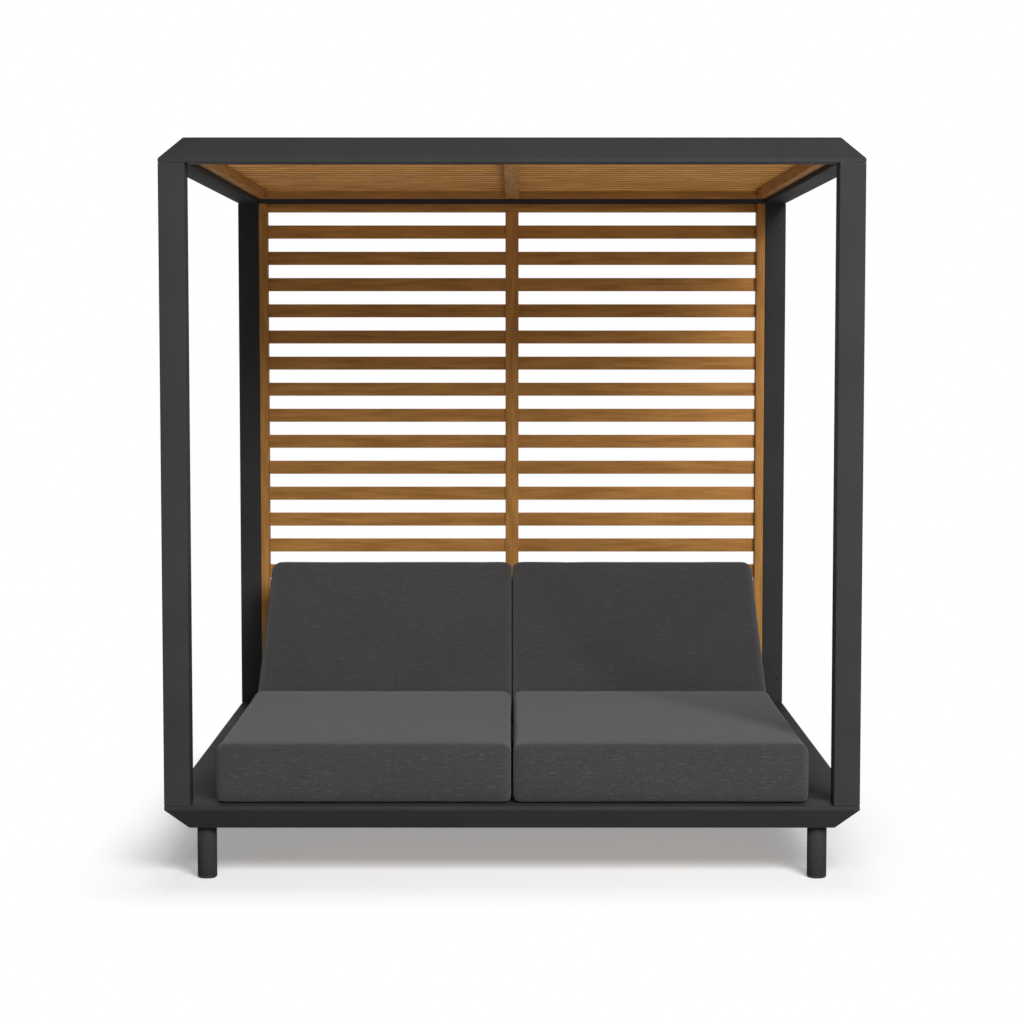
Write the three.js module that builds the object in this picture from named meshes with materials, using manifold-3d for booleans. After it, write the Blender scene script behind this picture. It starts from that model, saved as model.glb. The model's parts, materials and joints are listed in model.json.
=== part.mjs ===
// Outdoor daybed with a canopy. A base ring on four legs carries four posts, and they carry a
// canopy ring with a slatted roof. A slatted screen closes the rear. Two seat cushions lie on
// slatted platforms, and two back cushions lie on back frames that recline on notched props.
// Millimetres, +Z up, front towards -Y, origin on the floor under the middle of the frame.

import * as THREE from 'three';
import { mergeVertices } from 'three/addons/utils/BufferGeometryUtils.js';
import Module from 'manifold-3d';

// Clearances
const seatGap = 0.3; // between pieces that rest on, butt against or fit into each other
const runningGap = 0.5; // round a pin that turns
const jointLine = 0.8; // shadow line where a post meets a ring
const sideClearance = 2; // beside a frame that swings
const cutOverrun = 4; // how far a cutter passes the faces that it cuts

// Frame rings, mitred extrusions with a lip and a chamfer on the outer side
const frameWidth = 2000;
const frameDepth = 2080;
const ringHeight = 76;
const ringLip = 12;
const ringFlat = 11; // top of a canopy rail, between its chamfer and its inner face
const ringWall = 3;
const edgeRound = 2; // how far a rounded edge reaches along each face
const baseRailWidth = 155;

// Legs with plug-in glides
const legClearance = 154; // floor to the underside of the base ring
const legDiameter = 57;
const legWall = 3;
const glideHeight = 8;
const glideTaper = 5;
const glideStemLength = 26;

// Posts and the spigots inside their ends
const postSide = 75;
const postHeight = 1834;
const postWall = 3;
const spigotLength = 120;
const spigotWall = 4;
const spigotBase = 6;

// Timber lattices of the roof and the rear screen
const latticeBorder = 30;
const latticeMullion = 48;
const slatWidth = 48;
const slatThickness = 20;
const slatGroove = 8;
const screenDepth = 40;
const screenSetback = 20; // behind the front faces of the rear posts
const screenStileSetback = 1; // of the outer stiles, which are deeper than the rest
const screenSlatCount = 18;
const roofSetback = 16; // above the underside of the canopy ring
const roofSlatRise = 32; // above the underside of the roof's own rails
const roofRim = 2; // of rail above the slats
const roofSlatCount = 19;

// Base interior
const beamWidth = 20;
const beamHeight = 65;
const beamWall = 2.5;
const platformThickness = 25;
const platformBorder = 40;
const platformSlatCount = 10;
const platformSlatWidth = 70;
const hingeBeamHeight = 60;
const hingeBeamWidth = 40;
const hingeBeamDrop = 5; // below the top of the base ring
const hingeBeamWall = 3;

// Hinges of the backs
const hingePlaceShare = 0.602; // of the frame's depth, from the front to the hinge rod
const hingeDrop = 15; // hinge rod below the top of the base ring
const hingeRodDiameter = 12;
const hingeLugThickness = 6;
const hingeLugRim = 6; // of metal round the rod
const hingeBeamStandoff = 7; // beam to the eye of a back frame
const reclineAngle = 35; // degrees, of a back above the horizontal

// Back frames
const backTubeWidth = 20;
const backTubeDrop = 10; // from the hinge line to the underside of the tubes
const backTubeWall = 2.5;
const backSlatCount = 6;
const backSlatWidth = 60;
const backSlatThickness = 4;
const backSlatStart = 40; // hinge rod to the first slat
const backEndClearance = 18; // to the rear rail when the back lies flat

// Props
const propPivotDiameter = 10;
const propFootDiameter = 16;
const propArmWidth = 16;
const propArmThickness = 6;
const propWidth = 360;
const propClearance = 2; // to the underside of the back frame
const propLugThickness = 6;
const propLugRim = 4;
const propFootClearance = 27; // foot bar to the end tube when the back lies flat

// Racks
const rackWidth = 40;
const rackNotchCount = 5;
const rackNotchStep = 7.5; // degrees of recline from notch to notch
const rackNotchDepth = 5;
const rackNotchClearance = 1;

// Cushions
const cushionParting = 10; // between the cushions of the two halves
const cushionOverhang = 9; // onto the side rails of the base
const seatCushionThickness = 167;
const backCushionThickness = 155;
const cushionRound = 28;
const cushionCrown = 7;
const cushionDrawIn = 5;
const crownPower = 4; // how square the crown is
const seatCushionSetback = 35; // behind the front of the base ring
const seatCushionEndClearance = 116; // to the hinge rod
const backCushionStart = 12; // hinge rod to the lower end
const backCushionEndClearance = 16; // to the screen when the back lies flat

// Round stretches
const roundSides = 24;
const smallRoundSides = 12;
const edgeSteps = 1;
const cushionEdgeSteps = 2;
const cushionSideSteps = 2;
const cushionFaceSteps = 8;

// Places worked out from the sizes
const baseTop = legClearance + ringHeight;
const postBottom = baseTop + jointLine;
const postTop = postBottom + postHeight;
const canopyBottom = postTop + jointLine;
const chamferRun = postSide - ringFlat;
const halfWidth = frameWidth / 2;
const halfDepth = frameDepth / 2;
const innerHalfWidth = halfWidth - baseRailWidth;
const innerHalfDepth = halfDepth - baseRailWidth;
const openingHalfWidth = halfWidth - postSide;
const openingHalfDepth = halfDepth - postSide;
const bayCentre = (beamWidth / 2 + innerHalfWidth) / 2;
const bayHalf = (innerHalfWidth - beamWidth / 2) / 2;
const hingeY = frameDepth * hingePlaceShare - halfDepth;
const hingeZ = baseTop - hingeDrop;
const backFrameLength = innerHalfDepth - hingeY - backEndClearance;
const backFrameHalf = bayHalf - sideClearance;
const roofDepth = roofSlatRise + slatThickness + roofRim;
const screenFront = openingHalfDepth + screenSetback;
const screenStileDepth = screenDepth + screenSetback - screenStileSetback;
const propReach = backFrameLength - backTubeWidth - propFootClearance - propFootDiameter / 2;
const propHalfWidth = propWidth / 2;
const propBarDrop = backTubeDrop + propClearance + propArmWidth / 2;
const propLength = propReach / 2;
const propSeat = propReach / 2;
const hingeBeamRear = hingeY - hingeDrop - hingeBeamStandoff;
const hingeBeamFront = hingeBeamRear - hingeBeamWidth;
const hingeBeamTop = baseTop - hingeBeamDrop;
const hingeBeamBottom = hingeBeamTop - hingeBeamHeight;
const cushionOuter = innerHalfWidth + cushionOverhang;
const cushionInner = cushionParting / 2;
const cushionWidth = cushionOuter - cushionInner;
const cushionOffset = (cushionOuter + cushionInner) / 2 - bayCentre;
const seatCushionFront = seatCushionSetback - halfDepth;
const seatCushionLength = hingeY - seatCushionEndClearance - seatCushionFront;

const corners = [
  { name: 'front_left', x: -1, y: -1 },
  { name: 'front_right', x: 1, y: -1 },
  { name: 'rear_left', x: -1, y: 1 },
  { name: 'rear_right', x: 1, y: 1 },
];
const sides = [
  { name: 'left', x: -1 },
  { name: 'right', x: 1 },
];

// Finishes
const powderCoat = { color: 0x47484b, roughness: 0.55, metalness: 0.3 };
const teak = { color: 0x9a6a3f, roughness: 0.7, metalness: 0 };
const melange = { color: 0x505155, roughness: 0.95, metalness: 0 };
const steel = { color: 0x9a9da0, roughness: 0.35, metalness: 0.9 };
const plastic = { color: 0x1c1c1e, roughness: 0.6, metalness: 0 };

const wasm = await Module();
wasm.setup();

function namedMesh(name, geometry, finish) {
  const mesh = new THREE.Mesh(geometry, new THREE.MeshStandardMaterial(finish));
  mesh.name = name;
  return mesh;
}

// Booleans

function weld(geometry) {
  const bare = geometry.clone();
  bare.deleteAttribute('normal');
  bare.deleteAttribute('uv');
  return mergeVertices(bare);
}

function toSolid(geometry) {
  const welded = weld(geometry);
  return new wasm.Manifold(new wasm.Mesh({
    numProp: 3,
    vertProperties: new Float32Array(welded.attributes.position.array),
    triVerts: new Uint32Array(welded.index.array),
  }));
}

function toGeometry(solid) {
  const mesh = solid.getMesh();
  const geometry = new THREE.BufferGeometry();
  geometry.setAttribute('position', new THREE.BufferAttribute(mesh.vertProperties, mesh.numProp));
  geometry.setIndex(new THREE.BufferAttribute(mesh.triVerts, 1));
  geometry.computeVertexNormals();
  return geometry;
}

function combine(added, removed = []) {
  let solid = toSolid(added[0]);
  for (const geometry of added.slice(1)) {
    solid = solid.add(toSolid(geometry));
  }
  for (const geometry of removed) {
    solid = solid.subtract(toSolid(geometry));
  }
  return toGeometry(solid);
}

// Plain shapes

function block([x0, x1], [y0, y1], [z0, z1]) {
  const geometry = new THREE.BoxGeometry(x1 - x0, y1 - y0, z1 - z0);
  return geometry.translate((x0 + x1) / 2, (y0 + y1) / 2, (z0 + z1) / 2);
}

function rodAlongX(radius, [x0, x1], y, z, sideCount) {
  const geometry = new THREE.CylinderGeometry(radius, radius, x1 - x0, sideCount);
  geometry.rotateZ(Math.PI / 2);
  return geometry.translate((x0 + x1) / 2, y, z);
}

function mirroredSpan(outer, inner, side) {
  return side < 0 ? [-outer, -inner] : [inner, outer];
}

function rectangleCorners(width, height) {
  const x = width / 2;
  const y = height / 2;
  return [[-x, -y], [x, -y], [x, y], [-x, y]];
}

// A closed outline whose corners are rounded by reach along each edge.
function roundedOutline(points, reach, outline = new THREE.Shape()) {
  const count = points.length;
  points.forEach(([x, y], i) => {
    const corner = new THREE.Vector2(x, y);
    const before = new THREE.Vector2(...points[(i + count - 1) % count]);
    const after = new THREE.Vector2(...points[(i + 1) % count]);
    const start = corner.clone().lerp(before, Math.min(reach / corner.distanceTo(before), 0.5));
    const end = corner.clone().lerp(after, Math.min(reach / corner.distanceTo(after), 0.5));
    if (i === 0) {
      outline.moveTo(start.x, start.y);
    } else {
      outline.lineTo(start.x, start.y);
    }
    outline.quadraticCurveTo(corner.x, corner.y, end.x, end.y);
  });
  outline.closePath();
  return outline;
}

function straightOutline(points, outline = new THREE.Shape()) {
  outline.setFromPoints(points.map(([x, y]) => new THREE.Vector2(x, y)));
  return outline;
}

// The part of a convex outline, listed anticlockwise, that lies at least wall inside every edge.
function insetConvex(points, wall) {
  let inside = points;
  points.forEach(([x0, y0], i) => {
    const [x1, y1] = points[(i + 1) % points.length];
    const length = Math.hypot(x1 - x0, y1 - y0);
    const depth = ([x, y]) => ((x1 - x0) * (y - y0) - (y1 - y0) * (x - x0)) / length - wall;
    inside = inside.flatMap((point, j) => {
      const next = inside[(j + 1) % inside.length];
      const here = depth(point);
      const there = depth(next);
      const kept = here >= 0 ? [point] : [];
      if ((here >= 0) !== (there >= 0)) {
        const share = here / (here - there);
        kept.push([point[0] + (next[0] - point[0]) * share, point[1] + (next[1] - point[1]) * share]);
      }
      return kept;
    });
  });
  return inside;
}

function extrude(shape, depth) {
  return new THREE.ExtrudeGeometry(shape, { depth, bevelEnabled: false, curveSegments: edgeSteps });
}

// Frame rings

// Outlines in a rail's own plane, x inwards from the outer lip and y up.
function baseRailCorners() {
  const lipBottom = ringHeight - ringLip;
  return [
    [0, ringHeight],
    [0, lipBottom],
    [chamferRun, 0],
    [baseRailWidth, 0],
    [baseRailWidth, ringHeight],
  ];
}

function canopyRailCorners() {
  return [
    [0, 0],
    [postSide, 0],
    [postSide, ringHeight],
    [chamferRun, ringHeight],
    [0, ringLip],
  ];
}

// A hollow rail from mitre to mitre, along +X, with its outer lip at y = 0.
function mitredRail(points, length) {
  const shape = roundedOutline(points, edgeRound);
  shape.holes.push(straightOutline(insetConvex(points, ringWall), new THREE.Path()));
  const geometry = extrude(shape, length);
  const position = geometry.attributes.position;
  const back = seatGap / Math.SQRT2;
  for (let i = 0; i < position.count; i += 1) {
    const inset = position.getX(i) + back;
    position.setZ(i, position.getZ(i) > length / 2 ? length - inset : inset);
  }
  const inwards = new THREE.Vector3(0, 1, 0);
  const up = new THREE.Vector3(0, 0, 1);
  const along = new THREE.Vector3(1, 0, 0);
  geometry.applyMatrix4(new THREE.Matrix4().makeBasis(inwards, up, along));
  return geometry.translate(-length / 2, 0, 0);
}

function mitredRing(prefix, points, bottom) {
  const ring = new THREE.Group();
  const rails = [
    { name: 'front', length: frameWidth, offset: halfDepth, turn: 0 },
    { name: 'right', length: frameDepth, offset: halfWidth, turn: Math.PI / 2 },
    { name: 'rear', length: frameWidth, offset: halfDepth, turn: Math.PI },
    { name: 'left', length: frameDepth, offset: halfWidth, turn: -Math.PI / 2 },
  ];
  for (const { name, length, offset, turn } of rails) {
    const geometry = mitredRail(points, length).translate(0, -offset, 0);
    const rail = namedMesh(`${prefix}_rail_${name}`, geometry, powderCoat);
    rail.rotation.z = turn;
    ring.add(rail);
  }
  ring.position.z = bottom;
  return ring;
}

// Legs

function legTube() {
  const ring = new THREE.Shape();
  ring.absarc(0, 0, legDiameter / 2, 0, 2 * Math.PI);
  const bore = new THREE.Path();
  bore.absarc(0, 0, legDiameter / 2 - legWall, 0, 2 * Math.PI);
  ring.holes.push(bore);
  const depth = legClearance - glideHeight - seatGap;
  return new THREE.ExtrudeGeometry(ring, { depth, bevelEnabled: false, curveSegments: roundSides / 2 });
}

function glide() {
  const radius = legDiameter / 2;
  const stemRadius = radius - legWall - seatGap;
  const profile = [
    [0, 0],
    [radius - glideTaper, 0],
    [radius, glideTaper],
    [radius, glideHeight - seatGap],
    [stemRadius, glideHeight - seatGap],
    [stemRadius, glideHeight + glideStemLength],
    [0, glideHeight + glideStemLength],
  ];
  const points = profile.map(([x, y]) => new THREE.Vector2(x, y));
  return new THREE.LatheGeometry(points, roundSides).rotateX(Math.PI / 2);
}

function legs() {
  const group = new THREE.Group();
  const inset = (chamferRun + baseRailWidth) / 2;
  for (const { name, x, y } of corners) {
    const leg = namedMesh(`leg_${name}`, legTube(), powderCoat);
    leg.position.set(x * (halfWidth - inset), y * (halfDepth - inset), glideHeight);
    const foot = namedMesh(`glide_${name}`, glide(), plastic);
    foot.position.set(leg.position.x, leg.position.y, 0);
    group.add(leg, foot);
  }
  return group;
}

// Posts and spigots

function postTube() {
  const shape = roundedOutline(rectangleCorners(postSide, postSide), edgeRound);
  const bore = rectangleCorners(postSide - 2 * postWall, postSide - 2 * postWall);
  shape.holes.push(straightOutline(bore, new THREE.Path()));
  return extrude(shape, postHeight);
}

// A square cup that stands on a ring, open away from it.
function spigot(side) {
  const width = postSide - 2 * postWall - 2 * seatGap;
  const body = extrude(roundedOutline(rectangleCorners(width, width), edgeRound), spigotLength);
  const bore = extrude(straightOutline(rectangleCorners(width - 2 * spigotWall, width - 2 * spigotWall)),
    spigotLength);
  bore.translate(0, 0, spigotBase);
  return combine([body], [bore]).rotateX(side < 0 ? 0 : Math.PI);
}

function posts() {
  const group = new THREE.Group();
  for (const { name, x, y } of corners) {
    const centreX = x * (halfWidth - postSide / 2);
    const centreY = y * (halfDepth - postSide / 2);
    const post = namedMesh(`post_${name}`, postTube(), powderCoat);
    const lower = namedMesh(`base_spigot_${name}`, spigot(-1), steel);
    const upper = namedMesh(`canopy_spigot_${name}`, spigot(1), steel);
    post.position.set(centreX, centreY, postBottom);
    lower.position.set(centreX, centreY, baseTop + seatGap);
    upper.position.set(centreX, centreY, canopyBottom - seatGap);
    group.add(post, lower, upper);
  }
  return group;
}

// Timber lattices, built flat: slats run along X and follow each other along Y, and Z is depth

function stile(points, length) {
  const geometry = extrude(straightOutline(points), length);
  const across = new THREE.Vector3(1, 0, 0);
  const deep = new THREE.Vector3(0, 0, 1);
  const along = new THREE.Vector3(0, -1, 0);
  geometry.applyMatrix4(new THREE.Matrix4().makeBasis(across, deep, along));
  return geometry.translate(0, length / 2, 0);
}

// Outline of a side stile with a groove in its inner face, x outwards from that face.
function sideStileCorners(width, depth, slatRise) {
  const grooveLow = slatRise - seatGap;
  const grooveHigh = slatRise + slatThickness + seatGap;
  return [
    [0, 0],
    [width, 0],
    [width, depth],
    [0, depth],
    [0, grooveHigh],
    [slatGroove, grooveHigh],
    [slatGroove, grooveLow],
    [0, grooveLow],
  ];
}

function mullionCorners(depth, slatRise) {
  const half = latticeMullion / 2;
  const web = half - slatGroove;
  const grooveLow = slatRise - seatGap;
  const grooveHigh = slatRise + slatThickness + seatGap;
  const right = [
    [half, 0],
    [half, grooveLow],
    [web, grooveLow],
    [web, grooveHigh],
    [half, grooveHigh],
    [half, depth],
  ];
  const left = right.map(([x, z]) => [-x, z]).reverse();
  return [...right, ...left];
}

// Parallel slats in one plate, with spacers between their ends where these lie in the grooves.
function slatBank(from, to, opening, slatCount) {
  const space = (opening - slatCount * slatWidth) / (slatCount + 1);
  const pitch = slatWidth + space;
  const first = -opening / 2 + space;
  const tongue = slatGroove - seatGap;
  const plate = straightOutline([
    [from - tongue, first],
    [to + tongue, first],
    [to + tongue, -first],
    [from - tongue, -first],
  ]);
  for (let i = 1; i < slatCount; i += 1) {
    const gapTop = first + i * pitch;
    const gapBottom = gapTop - space;
    plate.holes.push(straightOutline(
      [[from, gapBottom], [to, gapBottom], [to, gapTop], [from, gapTop]],
      new THREE.Path(),
    ));
  }
  return extrude(plate, slatThickness);
}

function lattice({ prefix, names, halfSpan, length, depth, sideDepth, slatRise, slatCount }) {
  const group = new THREE.Group();
  const outer = halfSpan - seatGap;
  const inner = outer - latticeBorder;
  const opening = length - 2 * latticeBorder;
  const mullionHalf = latticeMullion / 2;
  for (const { name, x } of sides) {
    const profile = sideStileCorners(latticeBorder, sideDepth, slatRise);
    const points = profile.map(([across, deep]) => [x * (inner + across), deep]);
    group.add(namedMesh(`${prefix}_${names.side}_${name}`, stile(points, length), teak));
    const [from, to] = mirroredSpan(inner, mullionHalf, x);
    const bank = slatBank(from, to, opening, slatCount).translate(0, 0, slatRise);
    group.add(namedMesh(`${prefix}_slats_${name}`, bank, teak));
  }
  const mullion = stile(mullionCorners(depth, slatRise), opening - 2 * seatGap);
  group.add(namedMesh(`${prefix}_${names.side}_centre`, mullion, teak));
  for (const [name, y] of [[names.low, -1], [names.high, 1]]) {
    const railSpan = mirroredSpan(length / 2, opening / 2, y);
    const rail = block([seatGap - inner, inner - seatGap], railSpan, [0, depth]);
    group.add(namedMesh(`${prefix}_rail_${name}`, rail, teak));
  }
  return group;
}

function roof() {
  const group = lattice({
    prefix: 'roof',
    names: { side: 'rail', low: 'front', high: 'rear' },
    halfSpan: openingHalfWidth,
    length: 2 * (openingHalfDepth - seatGap),
    depth: roofDepth,
    sideDepth: roofDepth,
    slatRise: roofSlatRise,
    slatCount: roofSlatCount,
  });
  group.position.z = canopyBottom + roofSetback;
  return group;
}

function rearScreen() {
  const group = lattice({
    prefix: 'screen',
    names: { side: 'stile', low: 'bottom', high: 'top' },
    halfSpan: openingHalfWidth,
    length: canopyBottom - baseTop - 2 * seatGap,
    depth: screenDepth,
    sideDepth: screenStileDepth,
    slatRise: (screenDepth - slatThickness) / 2,
    slatCount: screenSlatCount,
  });
  group.rotation.x = Math.PI / 2;
  group.position.set(0, screenFront + screenDepth, (baseTop + canopyBottom) / 2);
  return group;
}

// Base interior

function boxTube(width, height, wall, length) {
  const shape = roundedOutline(rectangleCorners(width, height), edgeRound);
  const bore = rectangleCorners(width - 2 * wall, height - 2 * wall);
  shape.holes.push(straightOutline(bore, new THREE.Path()));
  return extrude(shape, length).translate(0, 0, -length / 2);
}

function centreBeam() {
  const length = 2 * (innerHalfDepth - seatGap);
  const geometry = boxTube(beamWidth, beamHeight, beamWall, length).rotateX(Math.PI / 2);
  return geometry.translate(0, 0, baseTop - beamHeight / 2);
}

function seatPlatform() {
  const half = bayHalf - seatGap;
  const front = seatGap - innerHalfDepth;
  const rear = hingeBeamFront - seatGap;
  const opening = rear - front - 2 * platformBorder;
  const space = (opening - platformSlatCount * platformSlatWidth) / (platformSlatCount + 1);
  const plate = straightOutline([[-half, front], [half, front], [half, rear], [-half, rear]]);
  const slotHalf = half - platformBorder;
  for (let i = 0; i <= platformSlatCount; i += 1) {
    const low = front + platformBorder + i * (platformSlatWidth + space);
    const slot = [[-slotHalf, low], [slotHalf, low], [slotHalf, low + space], [-slotHalf, low + space]];
    plate.holes.push(straightOutline(slot, new THREE.Path()));
  }
  return extrude(plate, platformThickness).translate(0, 0, baseTop - platformThickness);
}

// A hollow cross beam with two lugs that hold the hinge rod.
function hingeBeam() {
  const length = 2 * (bayHalf - seatGap);
  const beam = boxTube(hingeBeamHeight, hingeBeamWidth, hingeBeamWall, length).rotateY(Math.PI / 2);
  beam.translate(0, hingeBeamRear - hingeBeamWidth / 2, hingeBeamTop - hingeBeamHeight / 2);
  const lugRadius = hingeRodDiameter / 2 + hingeLugRim;
  const lugOuter = backFrameHalf - backTubeWidth - sideClearance;
  const added = [beam];
  const removed = [];
  for (const { x } of sides) {
    const span = mirroredSpan(lugOuter, lugOuter - hingeLugThickness, x);
    const bore = [span[0] - cutOverrun, span[1] + cutOverrun];
    const rootY = hingeBeamRear - hingeBeamWall / 2;
    added.push(block(span, [rootY, hingeY], [hingeZ - lugRadius, hingeZ + hingeRodDiameter / 2]));
    added.push(rodAlongX(lugRadius, span, hingeY, hingeZ, roundSides));
    removed.push(rodAlongX(hingeRodDiameter / 2 + seatGap, bore, hingeY, hingeZ, roundSides));
  }
  return combine(added, removed);
}

function hingeRod() {
  const half = bayHalf - seatGap;
  return rodAlongX(hingeRodDiameter / 2, [-half, half], hingeY, hingeZ, roundSides);
}

// Rack: the prop's foot bar runs level above it, on a line that the recline angle gives

function footPlace(degrees) {
  const angle = THREE.MathUtils.degToRad(degrees);
  return {
    y: hingeY + 2 * propLength * Math.cos(angle) + propBarDrop * Math.sin(angle),
    bottom: hingeZ - propBarDrop * Math.cos(angle) - propFootDiameter / 2,
  };
}

// Notches from front to rear, each with a steep rear wall that stops the foot.
function notchOutline() {
  const reach = propFootDiameter / 2 + rackNotchClearance;
  const steepest = reclineAngle + rackNotchStep * Math.floor(rackNotchCount / 2);
  const points = [];
  for (let i = 0; i < rackNotchCount; i += 1) {
    const foot = footPlace(steepest - i * rackNotchStep);
    const nextFoot = footPlace(steepest - (i + 1) * rackNotchStep);
    const floor = foot.bottom - rackNotchDepth;
    const tip = nextFoot.bottom - rackNotchClearance;
    points.push([foot.y - reach, floor], [foot.y + reach, floor], [foot.y + reach, tip]);
  }
  return points;
}

// A notched bar from the hinge beam to the rear rail. Its raised end carries a back that lies flat.
function rack() {
  const front = hingeBeamRear + seatGap;
  const rear = innerHalfDepth - seatGap;
  const restFront = hingeY + backFrameLength - backTubeWidth;
  const restTop = hingeZ - backTubeDrop - runningGap;
  const flatFloor = footPlace(0).bottom - rackNotchDepth;
  const notches = notchOutline();
  const points = [
    [rear, hingeBeamBottom],
    [rear, restTop],
    [restFront, restTop],
    [restFront, flatFloor],
    ...notches.toReversed(),
    [front, notches[0][1]],
    [front, hingeBeamBottom],
  ];
  const geometry = extrude(straightOutline(points), rackWidth);
  const alongY = new THREE.Vector3(0, 1, 0);
  const up = new THREE.Vector3(0, 0, 1);
  const across = new THREE.Vector3(1, 0, 0);
  geometry.applyMatrix4(new THREE.Matrix4().makeBasis(alongY, up, across));
  return geometry.translate(-rackWidth / 2, 0, 0);
}

function bedHalf({ name, x }) {
  const group = new THREE.Group();
  group.add(namedMesh(`seat_platform_${name}`, seatPlatform(), teak));
  group.add(namedMesh(`hinge_beam_${name}`, hingeBeam(), powderCoat));
  group.add(namedMesh(`hinge_rod_${name}`, hingeRod(), steel));
  group.add(namedMesh(`prop_rack_${name}`, rack(), steel));
  const seatPad = cushion(seatCushionLength, seatCushionThickness);
  const seat = namedMesh(`seat_cushion_${name}`, seatPad, melange);
  seat.position.set(x * cushionOffset, seatCushionFront + seatCushionLength / 2, baseTop + seatGap);
  group.add(seat, backAssembly({ name, x }));
  group.position.x = x * bayCentre;
  return group;
}

// Backs and props, with the hinge rod's axis as the origin, Y along the back and Z out of it

function hingeEye(span) {
  return rodAlongX(hingeDrop, span, 0, 0, roundSides);
}

// A cross member folded from sheet, open below.
function crossChannel([low, high], top) {
  const half = backFrameHalf - backTubeWidth / 2;
  const inner = backFrameHalf - backTubeWidth;
  const shell = block([-half, half], [low, high], [-backTubeDrop, top]);
  const hollow = block(
    [-inner, inner],
    [low + backTubeWall, high - backTubeWall],
    [-backTubeDrop - cutOverrun, top - backTubeWall],
  );
  return combine([shell], [hollow]);
}

function backSlats() {
  const half = backFrameHalf - backTubeWidth / 2;
  const room = backFrameLength - backTubeWidth - backSlatStart;
  const pitch = room / backSlatCount;
  const depth = [hingeDrop - backSlatThickness, hingeDrop];
  const slats = [];
  for (let i = 0; i < backSlatCount; i += 1) {
    const low = backSlatStart + i * pitch;
    slats.push(block([-half, half], [low, low + backSlatWidth], depth));
  }
  return slats;
}

function backFrame() {
  const slatBottom = hingeDrop - backSlatThickness;
  const added = [
    crossChannel([propSeat - backTubeWidth / 2, propSeat + backTubeWidth / 2], slatBottom),
    crossChannel([backFrameLength - backTubeWidth, backFrameLength], hingeDrop),
    ...backSlats(),
  ];
  const removed = [];
  for (const { x } of sides) {
    const tube = mirroredSpan(backFrameHalf, backFrameHalf - backTubeWidth, x);
    const bore = [tube[0] - cutOverrun, tube[1] + cutOverrun];
    added.push(block(tube, [0, backFrameLength], [-backTubeDrop, hingeDrop]), hingeEye(tube));
    removed.push(rodAlongX(hingeRodDiameter / 2 + runningGap, bore, 0, 0, roundSides));
    removed.push(block(
      [tube[0] + backTubeWall, tube[1] - backTubeWall],
      [hingeDrop + backTubeWall, backFrameLength + cutOverrun],
      [backTubeWall - backTubeDrop, hingeDrop - backTubeWall],
    ));
    const lugInner = propHalfWidth + runningGap;
    const lug = mirroredSpan(lugInner + propLugThickness, lugInner, x);
    const lugBore = [lug[0] - cutOverrun, lug[1] + cutOverrun];
    const lugRadius = propPivotDiameter / 2 + propLugRim;
    const boreRadius = propPivotDiameter / 2 + runningGap;
    added.push(block(lug, [propSeat - lugRadius, propSeat + lugRadius], [-propBarDrop, slatBottom]));
    added.push(rodAlongX(lugRadius, lug, propSeat, -propBarDrop, roundSides));
    removed.push(rodAlongX(boreRadius, lugBore, propSeat, -propBarDrop, roundSides));
  }
  return combine(added, removed);
}

// A bail: pivot bar at the origin, foot bar at the far end of two flat arms.
function prop() {
  const barHalf = propHalfWidth + runningGap + propLugThickness + runningGap;
  const added = [
    rodAlongX(propPivotDiameter / 2, [-barHalf, barHalf], 0, 0, smallRoundSides),
    rodAlongX(propFootDiameter / 2, [-propHalfWidth, propHalfWidth], propLength, 0, smallRoundSides),
  ];
  for (const { x } of sides) {
    const arm = mirroredSpan(propHalfWidth, propHalfWidth - propArmThickness, x);
    added.push(block(arm, [0, propLength], [-propArmWidth / 2, propArmWidth / 2]));
    added.push(rodAlongX(propArmWidth / 2, arm, 0, 0, smallRoundSides));
  }
  return combine(added);
}

function backAssembly({ name, x }) {
  const group = new THREE.Group();
  const length = screenFront - hingeY - backCushionEndClearance - backCushionStart;
  const pad = namedMesh(`back_cushion_${name}`, cushion(length, backCushionThickness), melange);
  pad.position.set(x * cushionOffset, backCushionStart + length / 2, hingeDrop + seatGap);
  const bail = namedMesh(`prop_${name}`, prop(), steel);
  bail.position.set(0, propSeat, -propBarDrop);
  bail.rotation.x = -2 * THREE.MathUtils.degToRad(reclineAngle);
  group.add(namedMesh(`back_frame_${name}`, backFrame(), powderCoat), pad, bail);
  group.position.set(0, hingeY, hingeZ);
  group.rotation.x = THREE.MathUtils.degToRad(reclineAngle);
  return group;
}

// Cushions: a rounded box with a crowned top, a flat underside and sides drawn in between its corners

// Place of a grid line, with lines near both ends bunched so that they bend evenly round the edge.
function gridLine(index, count, half) {
  const fromEnd = Math.min(index, count - index);
  const side = index < count - index ? -1 : 1;
  if (fromEnd < cushionEdgeSteps) {
    const turn = (Math.PI / 4) * (1 - fromEnd / cushionEdgeSteps);
    return side * (half - cushionRound + cushionRound * Math.tan(turn));
  }
  const flatHalf = half - cushionRound;
  const flatCount = count - 2 * cushionEdgeSteps;
  return -flatHalf + 2 * flatHalf * (index - cushionEdgeSteps) / flatCount;
}

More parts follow.
